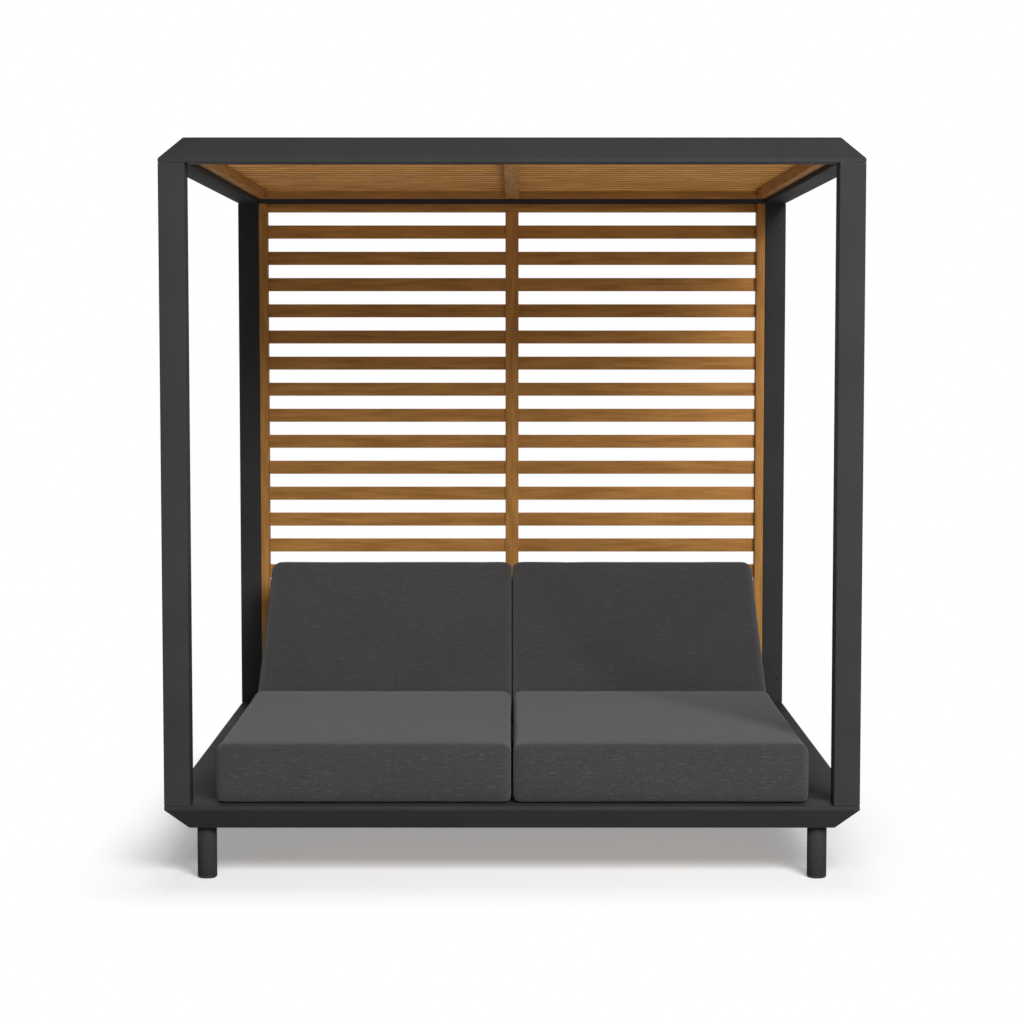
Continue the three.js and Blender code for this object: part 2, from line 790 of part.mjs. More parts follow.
function cushion(length, thickness) {
  const half = new THREE.Vector3(cushionWidth / 2, length / 2, thickness / 2);
  const flatHalf = half.clone().subScalar(cushionRound);
  const count = new THREE.Vector3(cushionFaceSteps, cushionFaceSteps, cushionSideSteps);
  count.addScalar(2 * cushionEdgeSteps);
  const geometry = new THREE.BoxGeometry(1, 1, 1, count.x, count.y, count.z);
  const position = geometry.attributes.position;
  const point = new THREE.Vector3();
  const flat = new THREE.Vector3();
  for (let i = 0; i < position.count; i += 1) {
    point.fromBufferAttribute(position, i).addScalar(1 / 2).multiply(count).round();
    for (const axis of ['x', 'y', 'z']) {
      point[axis] = gridLine(point[axis], count[axis], half[axis]);
    }
    flat.copy(point).clamp(flatHalf.clone().negate(), flatHalf);
    point.sub(flat).setLength(cushionRound).add(flat);
    const across = point.x / half.x;
    const along = point.y / half.y;
    const rise = (point.z / half.z + 1) / 2;
    const crown = (1 - Math.abs(across) ** crownPower) * (1 - Math.abs(along) ** crownPower);
    position.setXYZ(
      i,
      point.x - across * cushionDrawIn * (1 - along ** 2),
      point.y - along * cushionDrawIn * (1 - across ** 2),
      point.z + half.z + rise * cushionCrown * crown,
    );
  }
  return geometry;
}

const daybed = new THREE.Group();
daybed.add(mitredRing('base', baseRailCorners(), legClearance));
daybed.add(legs());
daybed.add(posts());
daybed.add(mitredRing('canopy', canopyRailCorners(), canopyBottom));
daybed.add(roof());
daybed.add(rearScreen());
daybed.add(namedMesh('centre_beam', centreBeam(), powderCoat));
for (const side of sides) {
  daybed.add(bedHalf(side));
}

export default daybed;
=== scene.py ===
"""An outdoor daybed with a slatted canopy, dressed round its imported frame.

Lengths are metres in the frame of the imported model: +Z up, the front towards -Y, the floor at zero.
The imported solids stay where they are. Coated tubes, timber, legs, glides, hinge rods, props and
cushions are remade at the same sizes with finer surfaces, the post screws are added, and every
other solid gets its finish.
"""

import json
import logging
import math
from collections.abc import Callable, Mapping, Sequence
from dataclasses import dataclass
from enum import Enum
from itertools import product
from typing import Any

import bmesh
import bpy
import numpy as np
from mathutils import Matrix, Vector, noise

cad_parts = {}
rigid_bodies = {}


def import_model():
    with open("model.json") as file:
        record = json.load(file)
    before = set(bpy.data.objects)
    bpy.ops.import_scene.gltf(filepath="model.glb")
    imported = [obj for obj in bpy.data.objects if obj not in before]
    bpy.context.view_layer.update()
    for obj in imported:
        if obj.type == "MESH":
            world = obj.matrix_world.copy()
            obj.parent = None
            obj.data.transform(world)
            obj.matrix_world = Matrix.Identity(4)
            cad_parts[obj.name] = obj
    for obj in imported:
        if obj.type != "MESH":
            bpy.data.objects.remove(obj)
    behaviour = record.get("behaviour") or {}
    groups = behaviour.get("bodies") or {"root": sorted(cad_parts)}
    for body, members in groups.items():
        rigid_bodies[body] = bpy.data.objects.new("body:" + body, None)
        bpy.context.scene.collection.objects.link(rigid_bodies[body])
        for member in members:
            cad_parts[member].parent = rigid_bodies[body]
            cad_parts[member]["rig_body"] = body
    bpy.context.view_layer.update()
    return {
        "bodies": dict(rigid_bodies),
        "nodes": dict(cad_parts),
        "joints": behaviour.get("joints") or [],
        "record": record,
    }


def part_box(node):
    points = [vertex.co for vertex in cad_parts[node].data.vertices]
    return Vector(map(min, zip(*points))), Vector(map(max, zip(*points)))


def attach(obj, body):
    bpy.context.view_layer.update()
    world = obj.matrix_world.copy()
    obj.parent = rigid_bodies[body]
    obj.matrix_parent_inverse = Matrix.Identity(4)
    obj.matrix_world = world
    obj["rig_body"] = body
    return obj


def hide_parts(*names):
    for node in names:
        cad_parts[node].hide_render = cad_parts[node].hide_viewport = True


LOG = logging.getLogger("daybed")
MILLIMETRE = 0.001
MERGE_DISTANCE = 0.02 * MILLIMETRE
FLAT_ANGLE = math.radians(0.5)
EASED_ANGLE = math.radians(20.0)
CORNERS = ("front_left", "front_right", "rear_left", "rear_right")
RING_SIDES = ("front", "rear", "left", "right")
# Nearly all the values of a noise lie in this span.
MID_SPAN = (0.3, 0.7)
SHARP_DEGREES = 40.0
WHITE = (1.0, 1.0, 1.0, 1.0)
BLACK = (0.012, 0.012, 0.013, 1.0)
QUARTER_TURN = math.pi / 2
FULL_TURN = 2 * math.pi

Colour = tuple[float, float, float, float]
OutlinePoint = tuple[float, float]
Facing = tuple[Vector, Vector]
Inputs = Mapping[str | int, Any]
Span = tuple[float, float]
PerAxis = tuple[float, float, float]
Socket = bpy.types.NodeSocket
Material = bpy.types.Material
Piece = bpy.types.Object


class Slot(Enum):
    """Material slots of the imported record."""

    COAT = "frame_coat"
    TEAK = "teak"
    FABRIC = "cushion_fabric"
    STEEL = "hardware_steel"
    PLASTIC = "glide_plastic"


class Grain(Enum):
    """Direction of a board's grain, with the turn that lays it along X."""

    ALONG_X = (0.0, 0.0, 0.0)
    ALONG_Y = (0.0, 0.0, -QUARTER_TURN)
    ALONG_Z = (0.0, QUARTER_TURN, 0.0)


class Side(Enum):
    """The two halves of the bed, with the sign of their X."""

    LEFT = -1
    RIGHT = 1

    @property
    def label(self) -> str:
        """The side's name as node names hold it."""
        return self.name.lower()


class NodeSketch:
    """Adds nodes to one tree, sets their inputs and wires them."""

    def __init__(self, tree: bpy.types.NodeTree) -> None:
        """Keeps the tree that is drawn in.

        Args:
            tree: A shader or geometry node tree.
        """
        self.tree = tree

    def add(self, kind: str, inputs: Inputs | None = None, **settings: Any) -> bpy.types.Node:
        """Adds a node.

        Args:
            kind: The node's type name.
            inputs: Values or sockets by input name or number.
            **settings: The node's own properties.

        Returns:
            The new node.
        """
        node = self.tree.nodes.new(kind)
        for name, value in settings.items():
            setattr(node, name, value)
        for key, value in (inputs or {}).items():
            if isinstance(value, bpy.types.NodeSocket):
                self.tree.links.new(value, node.inputs[key])
            else:
                node.inputs[key].default_value = value
        return node

    def math(self, operation: str, *values: Any) -> Socket:
        """The result of a Math node on the values."""
        return self.add("ShaderNodeMath", dict(enumerate(values)), operation=operation).outputs[0]

    def vector(self, operation: str, *values: Any) -> Socket:
        """The vector that a Vector Math node makes of the values."""
        node = self.add("ShaderNodeVectorMath", dict(enumerate(values)), operation=operation)
        return node.outputs[0]

    def measure(self, operation: str, *values: Any) -> Socket:
        """The number that a Vector Math node makes of the values."""
        return self.vector(operation, *values).node.outputs["Value"]

    def combine(self, x: Any = 0.0, y: Any = 0.0, z: Any = 0.0) -> Socket:
        """A vector of three values."""
        return self.add("ShaderNodeCombineXYZ", {0: x, 1: y, 2: z}).outputs[0]

    def noise(self, vector: Any, scale: Any, detail: float = 2.0) -> Socket:
        """Noise from 0 to 1 whose cells measure one over scale along each axis.

        Args:
            vector: The place on the surface.
            scale: Cells per metre, one number or one for each of X, Y and Z.
            detail: How many finer layers are added.

        Returns:
            The noise.
        """
        inputs = {"Vector": vector, "Scale": scale, "Detail": detail}
        if isinstance(scale, tuple):
            inputs |= {"Vector": self.vector("MULTIPLY", vector, scale), "Scale": 1.0}
        return self.add("ShaderNodeTexNoise", inputs).outputs[0]

    def remap(
        self, value: Any, low: float, high: float, to_low: float = 0.0, to_high: float = 1.0
    ) -> Socket:
        """The value, carried from low..high to to_low..to_high and held inside it."""
        inputs = dict(enumerate((value, low, high, to_low, to_high)))
        return self.add("ShaderNodeMapRange", inputs, clamp=True).outputs[0]

    def blend(self, factor: Any, first: Any, second: Any, mode: str = "MIX") -> Socket:
        """The first colour with a share of the second on it, laid on in the given mode."""
        inputs = {0: factor, 6: first, 7: second}
        return self.add("ShaderNodeMix", inputs, data_type="RGBA", blend_type=mode).outputs[2]

    def shaded(self, colour: Any, shade: Any) -> Socket:
        """A colour times a grey."""
        return self.blend(1.0, colour, self.combine(shade, shade, shade), "MULTIPLY")

    def bump(self, height: Any, distance: float, strength: float, **below: Socket) -> Socket:
        """A normal bent by a height of 0 to 1.

        Args:
            height: The height.
            distance: What a height of 1 measures.
            strength: The share of the effect.
            **below: The Normal below it, if it isn't the surface's own.

        Returns:
            The normal.
        """
        inputs = {"Height": height, "Distance": distance, "Strength": strength, **below}
        return self.add("ShaderNodeBump", inputs).outputs[0]

    def group(self, tree: bpy.types.NodeTree, inputs: Inputs) -> Mapping[str, Socket]:
        """The outputs of a shader node group that is placed with its own values."""
        return self.add("ShaderNodeGroup", inputs, node_tree=tree).outputs

    def place(self) -> Socket:
        """The place on the surface, in metres."""
        return self.add("ShaderNodeTexCoord").outputs["Object"]


def empty_sketch(owner: Material | bpy.types.World) -> NodeSketch:
    """Clears the nodes of a material or a world.

    Args:
        owner: The material or the world.

    Returns:
        A sketch of its empty tree.
    """
    owner.use_nodes = True
    owner.node_tree.nodes.clear()
    return NodeSketch(owner.node_tree)


@dataclass
class NodeGroup:
    """A node group with its named sockets, ready to be drawn in."""

    name: str
    inputs: Mapping[str, tuple[str, Any]]
    outputs: Mapping[str, str]
    kind: str = "ShaderNodeTree"

    def __post_init__(self) -> None:
        """Makes the tree and its sockets."""
        self.tree = bpy.data.node_groups.new(self.name, self.kind)
        for label, (kind, default) in self.inputs.items():
            socket = self._socket(label, "INPUT", kind)
            if default is not None:
                socket.default_value = default
        for label, kind in self.outputs.items():
            self._socket(label, "OUTPUT", kind)
        self.sketch = NodeSketch(self.tree)
        self.given = self.sketch.add("NodeGroupInput").outputs

    def _socket(self, label: str, way: str, kind: str) -> bpy.types.NodeTreeInterfaceSocket:
        """Adds a named input or output."""
        return self.tree.interface.new_socket(name=label, in_out=way, socket_type=f"NodeSocket{kind}")

    def result(self, **values: Socket) -> bpy.types.NodeTree:
        """Wires the group's outputs and returns the tree."""
        self.sketch.add("NodeGroupOutput", values)
        return self.tree

    def realize(self, instances: Socket) -> None:
        """Ends a geometry tree with plain geometry in the tree's material.

        Args:
            instances: The geometry that the tree has made.
        """
        plain = self.sketch.add("GeometryNodeRealizeInstances", {0: instances}).outputs[0]
        inputs = {"Geometry": plain, "Material": self.given["Material"]}
        self.result(Geometry=self.sketch.add("GeometryNodeSetMaterial", inputs).outputs[0])

    def run(self, piece: Piece, values: Mapping[str, Any]) -> Piece:
        """Keeps what a geometry tree makes of a piece as its plain mesh.

        Args:
            piece: The piece that the tree works on.
            values: The tree's inputs by name.

        Returns:
            The piece.
        """
        modifier = piece.modifiers.new(self.name, "NODES")
        modifier.node_group = self.tree
        for item in self.tree.interface.items_tree:
            if item.name in values:
                modifier[item.identifier] = values[item.name]
        return shade_by_angle(settle(piece), SHARP_DEGREES)


@dataclass(frozen=True)
class TimberFigure:
    """Growth rings, fibres and pores of a board whose grain runs along X, in cells per metre."""

    board_spread: PerAxis = (5.3, 1.7, 2.9)
    trunk_taper: PerAxis = (0.02, 1.0, 1.0)
    drift_cells: PerAxis = (1.4, 7.0, 7.0)
    drift_width: float = 0.045
    fibre_cells: PerAxis = (7.0, 330.0, 330.0)
    fibre_share: float = 0.42
    streak_cells: PerAxis = (6.5, 62.0, 62.0)
    streak_share: float = 0.80
    late_wood_power: float = 2.2
    late_wood_share: float = 0.20
    late_wood_relief: float = 0.3
    pore_cells: PerAxis = (70.0, 1500.0, 1500.0)
    pore_span: Span = (0.60, 0.72)
    pore_share: float = 0.30
    pore_tint: Colour = (0.25, 0.17, 0.11, 1.0)
    pore_roughness: float = 0.12
    tone_drop: float = 0.24
    tone_span: Span = (0.12, 0.72)
    board_shades: Span = (0.92, 1.08)
    roughness: Span = (0.50, 0.64)

    def build(self) -> bpy.types.NodeTree:
        """Draws the group.

        Returns:
            The group's tree.
        """
        inputs = {
            "Vector": ("Vector", None),
            "Board": ("Float", 0.5),
            "Light": ("Color", None),
            "Dark": ("Color", None),
            "Rings per Metre": ("Float", 220.0),
        }
        outputs = {"Color": "Color", "Roughness": "Float", "Height": "Float"}
        group = NodeGroup("timber_figure", inputs, outputs)
        sketch, given = group.sketch, group.given
        offsets = [sketch.math("MULTIPLY", given["Board"], spread) for spread in self.board_spread]
        place = sketch.vector("ADD", given["Vector"], sketch.combine(*offsets))
        drift = sketch.math("SUBTRACT", sketch.noise(place, self.drift_cells), 0.5)
        sway = sketch.math("MULTIPLY", drift, self.drift_width)
        warped = sketch.vector("ADD", place, sketch.combine(0.0, sway, sway))
        radius = sketch.measure("LENGTH", sketch.vector("MULTIPLY", warped, self.trunk_taper))
        ring = sketch.math("FRACT", sketch.math("MULTIPLY", radius, given["Rings per Metre"]))
        late_wood = sketch.math("POWER", ring, self.late_wood_power)
        fibres = sketch.noise(place, self.fibre_cells, detail=4.0)
        streaks = sketch.noise(warped, self.streak_cells, detail=3.0)
        pores = sketch.remap(sketch.noise(place, self.pore_cells, detail=1.0), *self.pore_span)
        tone = sketch.math("MULTIPLY", fibres, self.fibre_share)
        tone = sketch.math("MULTIPLY_ADD", late_wood, self.late_wood_share, tone)
        tone = sketch.math("SUBTRACT", tone, self.tone_drop)
        tone = sketch.math("MULTIPLY_ADD", streaks, self.streak_share, tone)
        colour = sketch.blend(sketch.remap(tone, *self.tone_span), given["Light"], given["Dark"])
        colour = sketch.shaded(colour, sketch.remap(given["Board"], 0.0, 1.0, *self.board_shades))
        darkened = sketch.math("MULTIPLY", pores, self.pore_share)
        colour = sketch.blend(darkened, colour, self.pore_tint, "MULTIPLY")
        rough = sketch.remap(fibres, *MID_SPAN, *self.roughness)
        rough = sketch.math("MULTIPLY_ADD", pores, self.pore_roughness, rough)
        height = sketch.math("MULTIPLY_ADD", late_wood, self.late_wood_relief, fibres)
        height = sketch.math("SUBTRACT", height, pores)
        return group.result(Color=colour, Roughness=rough, Height=height)


@dataclass(frozen=True)
class MelangeWeave:
    """Plain weave of melange yarn with slubs, weft along X of the cloth's own coordinates."""

    second_layer: PerAxis = (3.17, 5.31, 0.0)
    weft_cells: PerAxis = (30.0, 230.0, 1.0)
    weft_share: float = 0.80
    dark_cells: PerAxis = (26.0, 220.0, 1.0)
    dark_share: float = 0.40
    warp_cells: PerAxis = (230.0, 45.0, 1.0)
    warp_share: float = 0.55
    weft_span: Span = (0.60, 0.72)
    warp_span: Span = (0.64, 0.74)
    mottle_cells: PerAxis = (260.0, 480.0, 1.0)
    mottle_span: Span = (0.36, 0.66)
    ground_share: float = 0.5
    drift_cells: PerAxis = (4.0, 4.0, 1.0)
    drift_shades: Span = (0.94, 1.06)
    weave_relief: float = 0.6
    slub_relief: float = 0.5
    mottle_relief: float = 0.5

    def build(self) -> bpy.types.NodeTree:
        """Draws the group.

        Returns:
            The group's tree.
        """
        inputs = {
            "Vector": ("Vector", None),
            "Ground": ("Color", None),
            "Pale Yarn": ("Color", None),
            "Dark Yarn": ("Color", None),
            "Threads per Metre": ("Float", 900.0),
        }
        group = NodeGroup("melange_cloth", inputs, {"Color": "Color", "Height": "Float"})
        sketch, given = group.sketch, group.given
        place, pale, dark = given["Vector"], given["Pale Yarn"], given["Dark Yarn"]
        apart = sketch.vector("ADD", place, self.second_layer)
        weft_slub = sketch.remap(sketch.noise(place, self.weft_cells, detail=1.0), *self.weft_span)
        dark_slub = sketch.remap(sketch.noise(apart, self.dark_cells, detail=1.0), *self.weft_span)
        warp_slub = sketch.remap(sketch.noise(apart, self.warp_cells, detail=1.0), *self.warp_span)
        mottle = sketch.noise(place, self.mottle_cells, detail=3.0)
        colour = sketch.blend(sketch.remap(mottle, *self.mottle_span), dark, pale)
        colour = sketch.blend(self.ground_share, colour, given["Ground"])
        slubs = (
            (weft_slub, self.weft_share, pale),
            (dark_slub, self.dark_share, dark),
            (warp_slub, self.warp_share, pale),
        )
        for slub, share, yarn in slubs:
            colour = sketch.blend(sketch.math("MULTIPLY", slub, share), colour, yarn)
        drift = sketch.noise(place, self.drift_cells)
        colour = sketch.shaded(colour, sketch.remap(drift, *MID_SPAN, *self.drift_shades))
        turns = sketch.math("MULTIPLY", given["Threads per Metre"], math.pi)
        parts = sketch.add("ShaderNodeSeparateXYZ", {0: place}).outputs
        waves = [sketch.math("SINE", sketch.math("MULTIPLY", parts[axis], turns)) for axis in (0, 1)]
        weave = sketch.math("MULTIPLY_ADD", sketch.math("MULTIPLY", *waves), 0.5, 0.5)
        height = sketch.math("MULTIPLY", weave, self.weave_relief)
        height = sketch.math("MULTIPLY_ADD", weft_slub, self.slub_relief, height)
        height = sketch.math("MULTIPLY_ADD", mottle, self.mottle_relief, height)
        return group.result(Color=colour, Height=height)


@dataclass(frozen=True)
class Stipple:
    """Fine even texture of sprayed powder or moulded plastic, with faint clouds in its tone."""

    cloud_cells: PerAxis = (5.0, 5.0, 5.0)
    cloud_share: float = 0.7

    def build(self) -> bpy.types.NodeTree:
        """Draws the group.

        Returns:
            The group's tree.
        """
        inputs = {"Vector": ("Vector", None), "Cells per Metre": ("Float", 900.0)}
        group = NodeGroup("stipple", inputs, {"Tone": "Float", "Height": "Float"})
        sketch, given = group.sketch, group.given
        grains = sketch.noise(given["Vector"], given["Cells per Metre"])
        clouds = sketch.noise(given["Vector"], self.cloud_cells, detail=3.0)
        fine = sketch.math("MULTIPLY", grains, 1 - self.cloud_share)
        tone = sketch.math("MULTIPLY_ADD", clouds, self.cloud_share, fine)
        return group.result(Tone=tone, Height=grains)


@dataclass(frozen=True)
class EdgeWear:
    """Mask of the lighter edges, broken into patches, with the normal that rounds them: rubbed wear, and on
    the powder coat also a painted highlight.
    """

    patch_cells: PerAxis = (60.0, 60.0, 60.0)
    patch_span: Span = (0.35, 0.65)
    bend_span: Span = (0.995, 0.86)

    def build(self) -> bpy.types.NodeTree:
        """Draws the group.

        Returns:
            The group's tree.
        """
        inputs = {"Vector": ("Vector", None), "Radius": ("Float", MILLIMETRE)}
        group = NodeGroup("edge_wear", inputs, {"Mask": "Float", "Normal": "Vector"})
        sketch, given = group.sketch, group.given
        rounded = sketch.add("ShaderNodeBevel", {"Radius": given["Radius"]}, samples=4).outputs[0]
        true_normal = sketch.add("ShaderNodeNewGeometry").outputs["Normal"]
        edge = sketch.remap(sketch.measure("DOT_PRODUCT", rounded, true_normal), *self.bend_span)
        patches = sketch.remap(sketch.noise(given["Vector"], self.patch_cells, detail=3.0), *self.patch_span)
        return group.result(Mask=sketch.math("MULTIPLY", edge, patches), Normal=rounded)


@dataclass(frozen=True)
class SettledDust:
    """Mask of the thin dust that settles on faces which look up."""

    patch_cells: PerAxis = (9.0, 9.0, 9.0)
    patch_span: Span = (0.35, 0.75)
    level_span: Span = (0.7, 1.0)

    def build(self) -> bpy.types.NodeTree:
        """Draws the group.

        Returns:
            The group's tree.
        """
        inputs = {"Vector": ("Vector", None), "Amount": ("Float", 0.1)}
        group = NodeGroup("settled_dust", inputs, {"Mask": "Float"})
        sketch, given = group.sketch, group.given
        normal = sketch.add("ShaderNodeTexCoord").outputs["Normal"]
        up = sketch.add("ShaderNodeSeparateXYZ", {0: normal}).outputs[2]
        patches = sketch.remap(sketch.noise(given["Vector"], self.patch_cells, detail=4.0), *self.patch_span)
        lying = sketch.math("MULTIPLY", sketch.remap(up, *self.level_span), patches)
        return group.result(Mask=sketch.math("MULTIPLY", lying, given["Amount"]))


class SurfaceEffects:
    """The shader node groups that the finishes share, each built once."""

    def __init__(self) -> None:
        """Builds the groups."""
        self.timber = TimberFigure().build()
        self.cloth = MelangeWeave().build()
        self.stipple = Stipple().build()
        self.edge_wear = EdgeWear().build()
        self.dust = SettledDust().build()


class Surface:
    """One material with a Principled BSDF, and the effects that it places."""

    def __init__(self, name: str, uniform: Inputs, effects: SurfaceEffects) -> None:
        """Starts the material.

        Args:
            name: The material's name.
            uniform: What is the same all over the surface, by the shader's socket name.
            effects: The shared node groups.
        """
        self.material = bpy.data.materials.new(name)
        self.effects = effects
        self.sketch = empty_sketch(self.material)
        self.shader = self.sketch.add("ShaderNodeBsdfPrincipled", uniform)
        self.sketch.add("ShaderNodeOutputMaterial", {"Surface": self.shader.outputs[0]})
        self.place = self.sketch.place()

    def wear(self, radius: float) -> Mapping[str, Socket]:
        """The mask and the normal of the lighter edges: rubbed wear, and on the powder coat also a painted
        highlight.
        """
        return self.sketch.group(self.effects.edge_wear, {"Vector": self.place, "Radius": radius})

    def rubbed(self, wear: Mapping[str, Socket], share: float, colour: Any, lighter_edge_colour: Colour) -> Socket:
        """A colour with a share of a lighter one at the edges, for rubbed wear and on the powder coat also a
        painted highlight.
        """
        return self.sketch.blend(self.sketch.math("MULTIPLY", wear["Mask"], share), colour, lighter_edge_colour)

    def dust(self, amount: float) -> Socket:
        """The mask of settled dust."""
        inputs = {"Vector": self.place, "Amount": amount}
        return self.sketch.group(self.effects.dust, inputs)["Mask"]

    def feed(self, **sockets: Socket) -> Material:
        """Links sockets to the shader.

        Args:
            **sockets: A socket for each of the shader's inputs, with underscores for spaces.

        Returns:
            The finished material.
        """
        for name, socket in sockets.items():
            self.sketch.tree.links.new(socket, self.shader.inputs[name.replace("_", " ")])
        return self.material


@dataclass(frozen=True)
class StippledFinish:
    """A finish with a fine texture all over and lighter edges, which are rubbed wear and on the powder coat
    also a painted highlight. Each kind sets its own values.
    """

    name: str
    colour: Colour
    cloudy: Colour
    rubbed: Colour
    rubbed_share: float
    cells_per_metre: float
    edge_radius: float
    texture_depth: float
    roughness: Span
    texture_strength: float = 0.5
    specular: float = 0.5
    metallic: float = 0.0
    tone_range: Span = (0.35, 0.65)

    def build(self, effects: SurfaceEffects) -> Material:
        """Makes the material.

        Args:
            effects: The shared node groups.

        Returns:
            The material.
        """
        uniform = {"Specular IOR Level": self.specular, "Metallic": self.metallic}
        surface = Surface(self.name, uniform, effects)
        sketch = surface.sketch
        inputs = {"Vector": surface.place, "Cells per Metre": self.cells_per_metre}
        stipple = sketch.group(effects.stipple, inputs)
        wear = surface.wear(self.edge_radius)
        tone, height = self._texture(surface, stipple)
        colour = sketch.blend(sketch.remap(stipple["Tone"], *self.tone_range), self.colour, self.cloudy)
        # Lighter edges: rubbed wear, and on the powder coat also a painted highlight.
        colour = surface.rubbed(wear, self.rubbed_share, colour, self.rubbed)
        rough = sketch.remap(tone, *MID_SPAN, *self.roughness)
        colour, rough = self._soiled(surface, colour, rough)
        normal = sketch.bump(height, self.texture_depth, self.texture_strength, Normal=wear["Normal"])
        return surface.feed(Base_Color=colour, Roughness=rough, Normal=normal)

    def _texture(self, surface: Surface, stipple: Mapping[str, Socket]) -> tuple[Socket, Socket]:
        """What the roughness and the height follow."""
        return stipple["Tone"], stipple["Height"]

    def _soiled(self, surface: Surface, colour: Socket, rough: Socket) -> tuple[Socket, Socket]:
        """The colour and the roughness under what has settled on them."""
        return colour, rough


@dataclass(frozen=True)
class PowderCoat(StippledFinish):
    """Anthracite powder coat on aluminium: satin, with a fine even texture, a little dust and lighter edges
    that are partly rubbed wear and partly a painted highlight.
    """

    name: str = "anthracite_powder_coat"
    colour: Colour = (0.0365, 0.0366, 0.0372, 1.0)
    cloudy: Colour = (0.0425, 0.0426, 0.0433, 1.0)
    # The lighter edge colour and its share are partly rubbed wear and partly a painted highlight on the
    # edges and the canopy lip.
    rubbed: Colour = (0.085, 0.086, 0.088, 1.0)
    rubbed_share: float = 0.6
    cells_per_metre: float = 1100.0
    edge_radius: float = 1.2 * MILLIMETRE
    texture_depth: float = 0.05 * MILLIMETRE
    roughness: Span = (0.52, 0.62)
    specular: float = 0.012
    dusty: Colour = (0.16, 0.155, 0.145, 1.0)
    dust_share: float = 0.02

    def _soiled(self, surface: Surface, colour: Socket, rough: Socket) -> tuple[Socket, Socket]:
        """The colour and the roughness under a thin dust."""
        dust = surface.dust(self.dust_share)
        return surface.sketch.blend(dust, colour, self.dusty), surface.sketch.math("ADD", rough, dust)


@dataclass(frozen=True)
class ZincSteel(StippledFinish):
    """Zinc-plated steel of rods, props and racks, slightly brushed."""

    name: str = "zinc_steel"
    colour: Colour = (0.24, 0.24, 0.245, 1.0)
    cloudy: Colour = (0.34, 0.345, 0.35, 1.0)
    rubbed: Colour = (0.52, 0.52, 0.53, 1.0)
    rubbed_share: float = 1.0
    cells_per_metre: float = 2200.0
    edge_radius: float = 0.8 * MILLIMETRE
    texture_depth: float = 0.03 * MILLIMETRE
    roughness: Span = (0.30, 0.46)
    metallic: float = 0.9
    tone_range: Span = (0.38, 0.62)
    brush_cells: PerAxis = (12.0, 700.0, 700.0)

    def _texture(self, surface: Surface, stipple: Mapping[str, Socket]) -> tuple[Socket, Socket]:
        """The brush marks, for the roughness and the height."""
        brushed = surface.sketch.noise(surface.place, self.brush_cells)
        return brushed, brushed


@dataclass(frozen=True)
class BlackOxideSteel(StippledFinish):
    """Black screws with a slight oil sheen."""

    name: str = "black_oxide_steel"
    colour: Colour = BLACK
    cloudy: Colour = BLACK
    rubbed: Colour = (0.09, 0.09, 0.092, 1.0)
    rubbed_share: float = 0.5
    cells_per_metre: float = 3000.0
    edge_radius: float = 0.4 * MILLIMETRE
    texture_depth: float = 0.0
    roughness: Span = (0.32, 0.48)
    metallic: float = 0.6


@dataclass(frozen=True)
class MouldedPlastic(StippledFinish):
    """Black moulded plastic of the glides."""

    name: str = "black_moulded_plastic"
    colour: Colour = BLACK
    cloudy: Colour = BLACK
    rubbed: Colour = (0.07, 0.07, 0.068, 1.0)
    rubbed_share: float = 0.7
    cells_per_metre: float = 1500.0
    edge_radius: float = MILLIMETRE
    texture_depth: float = 0.08 * MILLIMETRE
    roughness: Span = (0.5, 0.66)
    specular: float = 0.4


@dataclass(frozen=True)
class OiledTeak:
    """Oiled teak whose grain runs in one direction."""

    grain: Grain
    light: Colour = (0.60, 0.300, 0.087, 1.0)
    dark: Colour = (0.31, 0.130, 0.030, 1.0)
    dusty: Colour = (0.44, 0.32, 0.20, 1.0)
    worn: Colour = (0.62, 0.37, 0.16, 1.0)
    worn_share: float = 0.35
    dust_share: float = 0.12
    rings_per_metre: float = 240.0
    edge_radius: float = 1.5 * MILLIMETRE
    grain_depth: float = 0.10 * MILLIMETRE
    grain_strength: float = 0.6
    specular: float = 0.06

    def build(self, effects: SurfaceEffects) -> Material:
        """Makes the material.

        Args:
            effects: The shared node groups.

        Returns:
            The material.
        """
        name = f"teak_{self.grain.name.lower()}"
        surface = Surface(name, {"Specular IOR Level": self.specular}, effects)
        sketch = surface.sketch
        turn = {"Vector": surface.place, "Rotation": self.grain.value}
        inputs = {
            "Vector": sketch.add("ShaderNodeMapping", turn).outputs[0],
            "Board": sketch.add("ShaderNodeAttribute", attribute_name="board").outputs["Fac"],
            "Light": self.light,
            "Dark": self.dark,
            "Rings per Metre": self.rings_per_metre,
        }
        figure = sketch.group(effects.timber, inputs)
        wear = surface.wear(self.edge_radius)
        colour = surface.rubbed(wear, self.worn_share, figure["Color"], self.worn)
        colour = sketch.blend(surface.dust(self.dust_share), colour, self.dusty)
        normal = sketch.bump(figure["Height"], self.grain_depth, self.grain_strength, Normal=wear["Normal"])
        return surface.feed(Base_Color=colour, Roughness=figure["Roughness"], Normal=normal)


